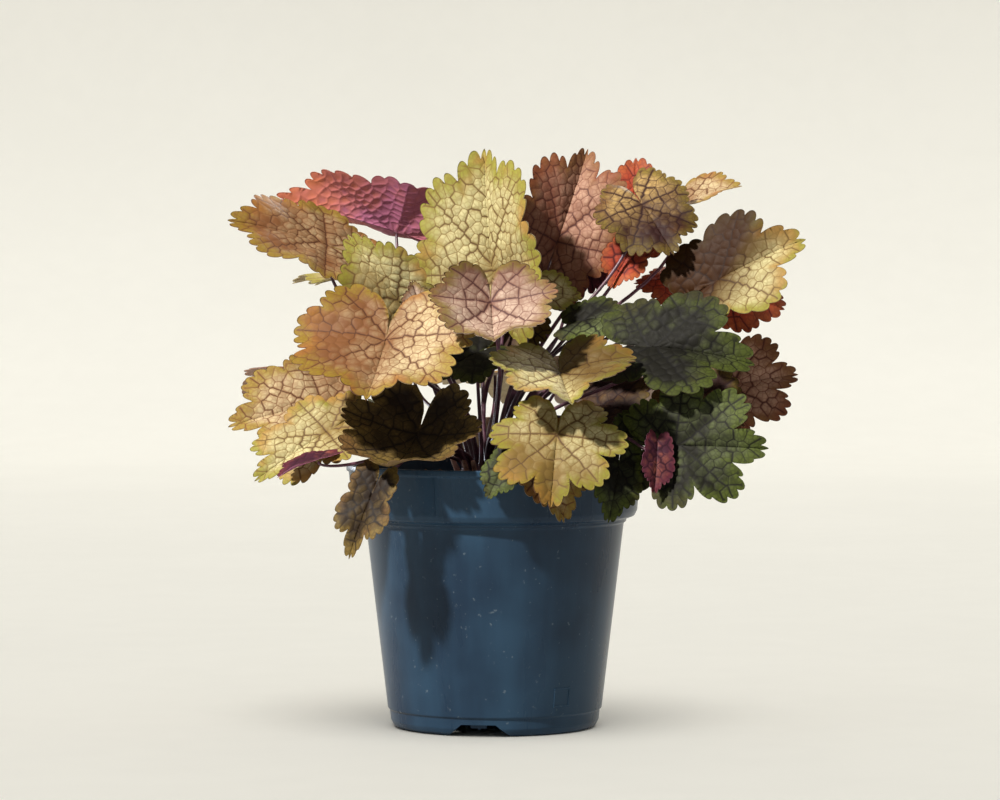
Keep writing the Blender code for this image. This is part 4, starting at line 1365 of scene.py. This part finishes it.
@dataclass
class NurseryPot:
    """The moulded pot, turned finely, with its notches, drain holes, ribs and small moulding marks."""

    segments: int = 160
    rounding: float = 0.7
    height: float = 150.0
    rim_radius: float = 85.0
    lip_height: float = 3.5
    collar_radius: float = 83.6
    collar_foot: Flat = (81.6, 124.0)
    bead: Flat = (75.4, 118.4)
    body_top: Flat = (73.9, 116.6)
    body_foot: Flat = (61.3, 10.6)
    skirt_radius: float = 60.2
    wall: float = 1.9
    underside: float = 7.0
    pad_radius: float = 19.0
    notch_angle: float = -99.0
    notch_widths: Flat = (35.0, 19.5)
    notch_height: float = 6.5
    drain_ring: float = 40.0
    drain_radius: float = 4.0
    rib_thickness: float = 1.6
    seam_angle: float = -114.0
    square_angle: float = -53.0
    square_level: float = 21.0
    square_bars: tuple[tuple[float, ...], ...] = (
        (0, 5, 11, 0.7),
        (0, -5, 11, 0.7),
        (5, 0, 0.7, 10),
        (-5, 0, 0.7, 10),
    )

    def build(self) -> None:
        """Builds and dresses the pot and its marks."""
        finish = PotPlastic().make()
        pot, cutter = self.turned("pot_wall"), self.cutters()
        cut = pot.modifiers.new("cut", "BOOLEAN")
        cut.operation, cut.object = "DIFFERENCE", cutter
        settle_modifiers(pot)
        bpy.data.objects.remove(cutter)
        pot.data.shade_smooth()
        pot.data.set_sharp_from_angle(angle=math.radians(38.0))
        for piece in (pot, self.ribs(), self.marks()):
            piece.data.materials.clear()
            piece.data.materials.append(finish)
            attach(piece, BODY)
            report(piece)
        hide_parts("pot")

    def profile(self) -> list[Flat]:
        """The wall's section, from the middle of the floor over the rim to the middle of the underside.

        Returns:
            Radius and height of each corner.
        """
        floor, lip = self.underside + self.wall, self.height - self.lip_height
        return [
            (0.0, self.wall),
            (self.pad_radius - self.wall, self.wall),
            (self.pad_radius + 0.6, floor),
            (self.body_foot[0] - self.wall - 2.0, floor),
            (self.body_foot[0] - self.wall + 0.6, floor + 4.0),
            (self.body_top[0] - self.wall, self.body_top[1]),
            (self.collar_foot[0] - self.wall - 1.0, self.collar_foot[1] - 2.0),
            (self.collar_radius - self.wall, lip),
            (self.rim_radius - self.wall, self.height),
            (self.rim_radius, self.height),
            (self.rim_radius, lip),
            (self.collar_radius, lip - 0.5),
            self.collar_foot,
            (self.collar_foot[0] - 1.6, self.collar_foot[1] - 3.2),
            (self.bead[0], self.bead[1] + 0.6),
            (self.bead[0], self.bead[1] - 0.8),
            self.body_top,
            self.body_foot,
            (self.skirt_radius, self.body_foot[1] - 0.8),
            (self.skirt_radius - 0.6, 4.0),
            (self.skirt_radius - 2.0, 1.2),
            (self.skirt_radius - 3.6, 0.0),
            (self.skirt_radius - 5.2, 0.0),
            (self.skirt_radius - 4.4, self.underside),
            (self.pad_radius + 1.2, self.underside),
            (self.pad_radius, 0.0),
            (0.0, 0.0),
        ]

    def turned(self, name: str) -> bpy.types.Object:
        """The wall as a solid of revolution about Z.

        Args:
            name: Name of the object.

        Returns:
            The object, with its modifier applied.
        """
        mesh = bpy.data.meshes.new(name)
        section = rounded(self.profile(), self.rounding)
        points = [(radius * MM, 0.0, height * MM) for radius, height in section]
        mesh.from_pydata(points, [(index, index + 1) for index in range(len(points) - 1)], [])
        made = add_object(name, mesh)
        screw = made.modifiers.new("turn", "SCREW")
        screw.steps = screw.render_steps = self.segments
        screw.use_merge_vertices = True
        screw.merge_threshold = 0.00001
        settle_modifiers(made)
        return made

    def cutters(self) -> bpy.types.Object:
        """The notches and drain holes as one cutter.

        Returns:
            The cutter.
        """
        shape = bmesh.new()
        below, reach = 1.0, 16.0
        foot, top = (width / 2 for width in self.notch_widths)
        foot += (foot - top) / self.notch_height * below
        section = ((-foot, -below), (foot, -below), (top, self.notch_height), (-top, self.notch_height))
        for index in range(3):
            turn = self.turn(self.notch_angle + index * 120.0)
            outs = (self.skirt_radius - reach / 2, self.skirt_radius + reach / 2)
            places = [Vector((out, side, height)) * MM for out in outs for side, height in section]
            corners = [shape.verts.new(turn @ place) for place in places]
            for face in ((3, 2, 1, 0), (4, 5, 6, 7), (0, 1, 5, 4), (1, 2, 6, 5), (2, 3, 7, 6), (3, 0, 4, 7)):
                shape.faces.new([corners[corner] for corner in face])
        for index in range(6):
            middle = Vector((self.drain_ring, 0.0, self.underside + 1.0)) * MM
            spot = self.turn(self.notch_angle + (index + 0.5) * 60.0) @ Matrix.Translation(middle)
            add_cone(shape, (self.drain_radius * MM, self.drain_radius * MM), 6 * MM, 24, spot)
        bmesh.ops.recalc_face_normals(shape, faces=shape.faces)
        return object_from(shape, "pot_cutters")

    def turn(self, angle: float) -> Matrix:
        """A turn about the pot's axis by an angle in degrees."""
        return Matrix.Rotation(math.radians(angle), 4, "Z")

    def add_box(self, shape: Shape, size: Triple, centre: Triple, angle: float, lean: float = 0.0) -> None:
        """Adds a box to a mesh.

        Args:
            shape: The mesh under construction.
            size: Its sides in millimetres, outwards, sideways and up.
            centre: Radius, sideways offset and height of its middle, in millimetres.
            angle: Direction from the pot's axis, in degrees.
            lean: Tilt away from the axis, in degrees.
        """
        place = self.turn(angle) @ Matrix.Translation(Vector(centre) * MM)
        place @= Matrix.Rotation(math.radians(lean), 4, "Y")
        scale = (*(side * MM for side in size), 1.0)
        bmesh.ops.create_cube(shape, size=1.0, matrix=place @ Matrix.Diagonal(scale))

    def ribs(self) -> bpy.types.Object:
        """The ribs under the base and the small one that stands in the front notch.

        Returns:
            The piece.
        """
        shape = bmesh.new()
        inside = self.pad_radius + 0.4
        reach = self.skirt_radius - 4.6 - inside
        middle = (inside + reach / 2, 0.0, self.underside - 1.6)
        for index in range(6):
            angle = self.notch_angle + index * 60.0
            self.add_box(shape, (reach, self.rib_thickness, 3.6), middle, angle)
        spot = (self.skirt_radius - 3.4, 0.0, self.underside - 1.0)
        self.add_box(shape, (self.rib_thickness, 9.0, 3.0), spot, self.notch_angle)
        return object_from(shape, "pot_ribs")

    def marks(self) -> bpy.types.Object:
        """The mould line on the collar and a bare raised square near the foot.

        Returns:
            The piece.
        """
        shape = bmesh.new()
        lean = math.degrees(math.atan2(self.collar_radius - self.collar_foot[0], 22.0))
        middle = ((self.collar_radius + self.collar_foot[0]) / 2, 0.0, 135.2)
        self.add_box(shape, (0.5, 0.7, 21.0), middle, self.seam_angle, lean)
        slope = (self.body_top[0] - self.body_foot[0]) / (self.body_top[1] - self.body_foot[1])
        for side, rise, width, height in self.square_bars:
            level = self.square_level + rise
            radius = self.body_foot[0] + (level - self.body_foot[1]) * slope
            spot = (radius - side**2 / (2 * radius), side, level)
            self.add_box(shape, (0.7, width, height), spot, self.square_angle, math.degrees(math.atan(slope)))
        return object_from(shape, "pot_mould_marks")


@dataclass
class Soil:
    """Peat in the pot: the solid stays, under loose crumbs."""

    top: float = 139.0
    radius: float = 78.0
    crown_radius: float = 18.5
    crumbs: int = 900
    small: Flat = (0.7, 2.6)
    large: Flat = (2.6, 4.2)
    small_share: float = 0.85
    raised: float = 0.2
    stretch: Flat = (0.6, 1.3)
    lumps_per_metre: float = 900.0
    lump_size: float = 0.5
    seed: int = 7

    def build(self) -> None:
        """Dresses the solid and scatters the crumbs."""
        finish = PEAT.make()
        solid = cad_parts["soil"]
        solid.data.materials.clear()
        solid.data.materials.append(finish)
        draws = random.Random(self.seed)
        shape = bmesh.new()
        for _ in range(self.crumbs):
            radius = self.radius * math.sqrt(draws.random())
            turn = draws.uniform(0.0, 2.0 * math.pi)
            spot = (radius * math.cos(turn), radius * math.sin(turn))
            size = draws.uniform(*(self.small if draws.random() < self.small_share else self.large))
            if math.dist(spot, CROWN) < self.crown_radius + size:
                continue
            place = Matrix.Translation(Vector((*spot, self.top + size * self.raised)) * MM)
            place @= Matrix.Rotation(draws.uniform(0.0, math.pi), 4, "Z")
            place @= Matrix.Diagonal((*(size * draws.uniform(*self.stretch) * MM for _ in range(3)), 1.0))
            bmesh.ops.create_icosphere(shape, subdivisions=1, radius=1.0, matrix=place)
        for vertex in shape.verts:
            vertex.co += noise.noise_vector(vertex.co * self.lumps_per_metre) * self.lump_size * MM
        piece = object_from(shape, "soil_crumbs")
        piece.data.materials.append(finish)
        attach(piece, BODY)
        report(piece)


@dataclass(frozen=True)
class Lamp:
    """A square soft light that looks at the plant. Lengths are metres."""

    name: str
    place: Triple
    size: float
    watts: float
    colour: Triple

    def build(self, receivers: bpy.types.Collection) -> None:
        """Adds the light.

        Args:
            receivers: What it lights.
        """
        lamp = bpy.data.lights.new(self.name, "AREA")
        lamp.size, lamp.energy, lamp.color = self.size, self.watts, srgb(*self.colour)
        holder = add_object(self.name, lamp)
        look_at(holder, self.place, (0.0, 0.0, 0.2))
        holder.light_linking.receiver_collection = receivers


def look_at(holder: bpy.types.Object, place: Triple, aim: Triple) -> None:
    """Stands a light or camera in a place and turns it to an aim.

    Args:
        holder: The light or camera.
        place: Where it stands.
        aim: What it looks at.
    """
    holder.location = place
    holder.rotation_euler = (Vector(aim) - Vector(place)).to_track_quat("-Z", "Y").to_euler()


def group_of(name: str, *members: str) -> bpy.types.Collection:
    """A collection of objects, for light linking.

    Args:
        name: Its name.
        *members: Names of the objects.

    Returns:
        The collection.
    """
    made = bpy.data.collections.new(name)
    for member in members:
        made.objects.link(bpy.data.objects[member])
    return made


@dataclass
class Studio:
    """Floor, light and camera. Lengths are metres."""

    lamps: tuple[Lamp, ...] = (
        Lamp("key", (-0.92, -1.06, 1.45), 0.11, 76.0, (255, 250, 240)),
        Lamp("back", (0.6, 1.2, 1.3), 0.5, 31.0, (255, 246, 232)),
        Lamp("left_edge", (-0.95, 0.85, 0.25), 0.35, 8.0, (236, 244, 255)),
    )
    sky: Triple = (243, 242, 236)
    sky_strength: float = 0.26
    sun: Triple = (246, 245, 238)
    sun_strength: float = 2.1
    sun_tilt: float = 22.0
    sun_angle: float = 60.0
    camera_place: Triple = (0.0, -2.2, 0.254)
    camera_aim: Triple = (0.003, 0.0, 0.1865)
    focal_length: float = 138.4
    sweep_width: float = 14.0
    sweep_near: float = -4.0
    sweep_depth: float = 3.2
    sweep_radius: float = 1.2
    sweep_top: float = 5.0
    floor_level: float = -0.0003

    def build(self) -> None:
        """Sets the floor, the lights and the camera. The lamps leave the floor out, so it stays even."""
        self.add_floor()
        self.add_world()
        lit = group_of("lit_by_lamps", "floor")
        lit.collection_objects[0].light_linking.link_state = "EXCLUDE"
        for lamp in self.lamps:
            lamp.build(lit)
        self.add_floor_sun()
        self.add_camera()
        bpy.context.scene.view_settings.view_transform = "Standard"

    def sweep(self) -> list[Flat]:
        """Section of the floor, which curves up into a backdrop.

        Returns:
            Depth and height of each point.
        """
        found = [(self.sweep_near, self.floor_level)]
        for turn in (math.radians(step * 7.5) for step in range(13)):
            along = self.sweep_depth + self.sweep_radius * math.sin(turn)
            found.append((along, self.floor_level + self.sweep_radius * (1 - math.cos(turn))))
        return found + [(self.sweep_depth + self.sweep_radius, self.sweep_top)]

    def add_floor(self) -> None:
        """A plain pale floor."""
        shape = bmesh.new()
        half = self.sweep_width / 2
        rows = [[shape.verts.new((side, *spot)) for side in (-half, half)] for spot in self.sweep()]
        for near, far in zip(rows, rows[1:]):
            shape.faces.new((near[0], near[1], far[1], far[0]))
        floor = object_from(shape, "floor")
        floor.data.shade_smooth()
        floor.data.materials.append(PALE_FLOOR.make())

    def add_world(self) -> None:
        """Even pale light from all round."""
        world = bpy.data.worlds.new("studio")
        bpy.context.scene.world = world
        world.use_nodes = True
        sky = world.node_tree.nodes["Background"]
        sky.inputs["Color"].default_value = (*srgb(*self.sky), 1.0)
        sky.inputs["Strength"].default_value = self.sky_strength

    def add_floor_sun(self) -> None:
        """Light for the floor alone, so that the background is pale while the plant keeps its shadows."""
        lamp = bpy.data.lights.new("floor_sun", "SUN")
        lamp.energy, lamp.color = self.sun_strength, srgb(*self.sun)
        holder = add_object("floor_sun", lamp)
        holder.rotation_euler = (math.radians(self.sun_tilt), 0.0, 0.0)
        lamp.angle = math.radians(self.sun_angle)
        holder.light_linking.receiver_collection = group_of("floor_alone", "floor")
        holder.light_linking.blocker_collection = group_of("floor_and_pot", "floor", "pot_wall")

    def add_camera(self) -> None:
        """The camera at the photograph's angle."""
        lens = bpy.data.cameras.new("camera")
        lens.lens, lens.sensor_width = self.focal_length, 36.0
        holder = add_object("camera", lens)
        look_at(holder, self.camera_place, self.camera_aim)
        bpy.context.scene.camera = holder


def main() -> None:
    """Builds the studio and every piece of the plant."""
    logging.basicConfig(level=logging.INFO)
    for section in (NurseryPot(), Studio(), Soil(), Stalks(), Foliage()):
        section.build()


if __name__ == "__main__":
    main()
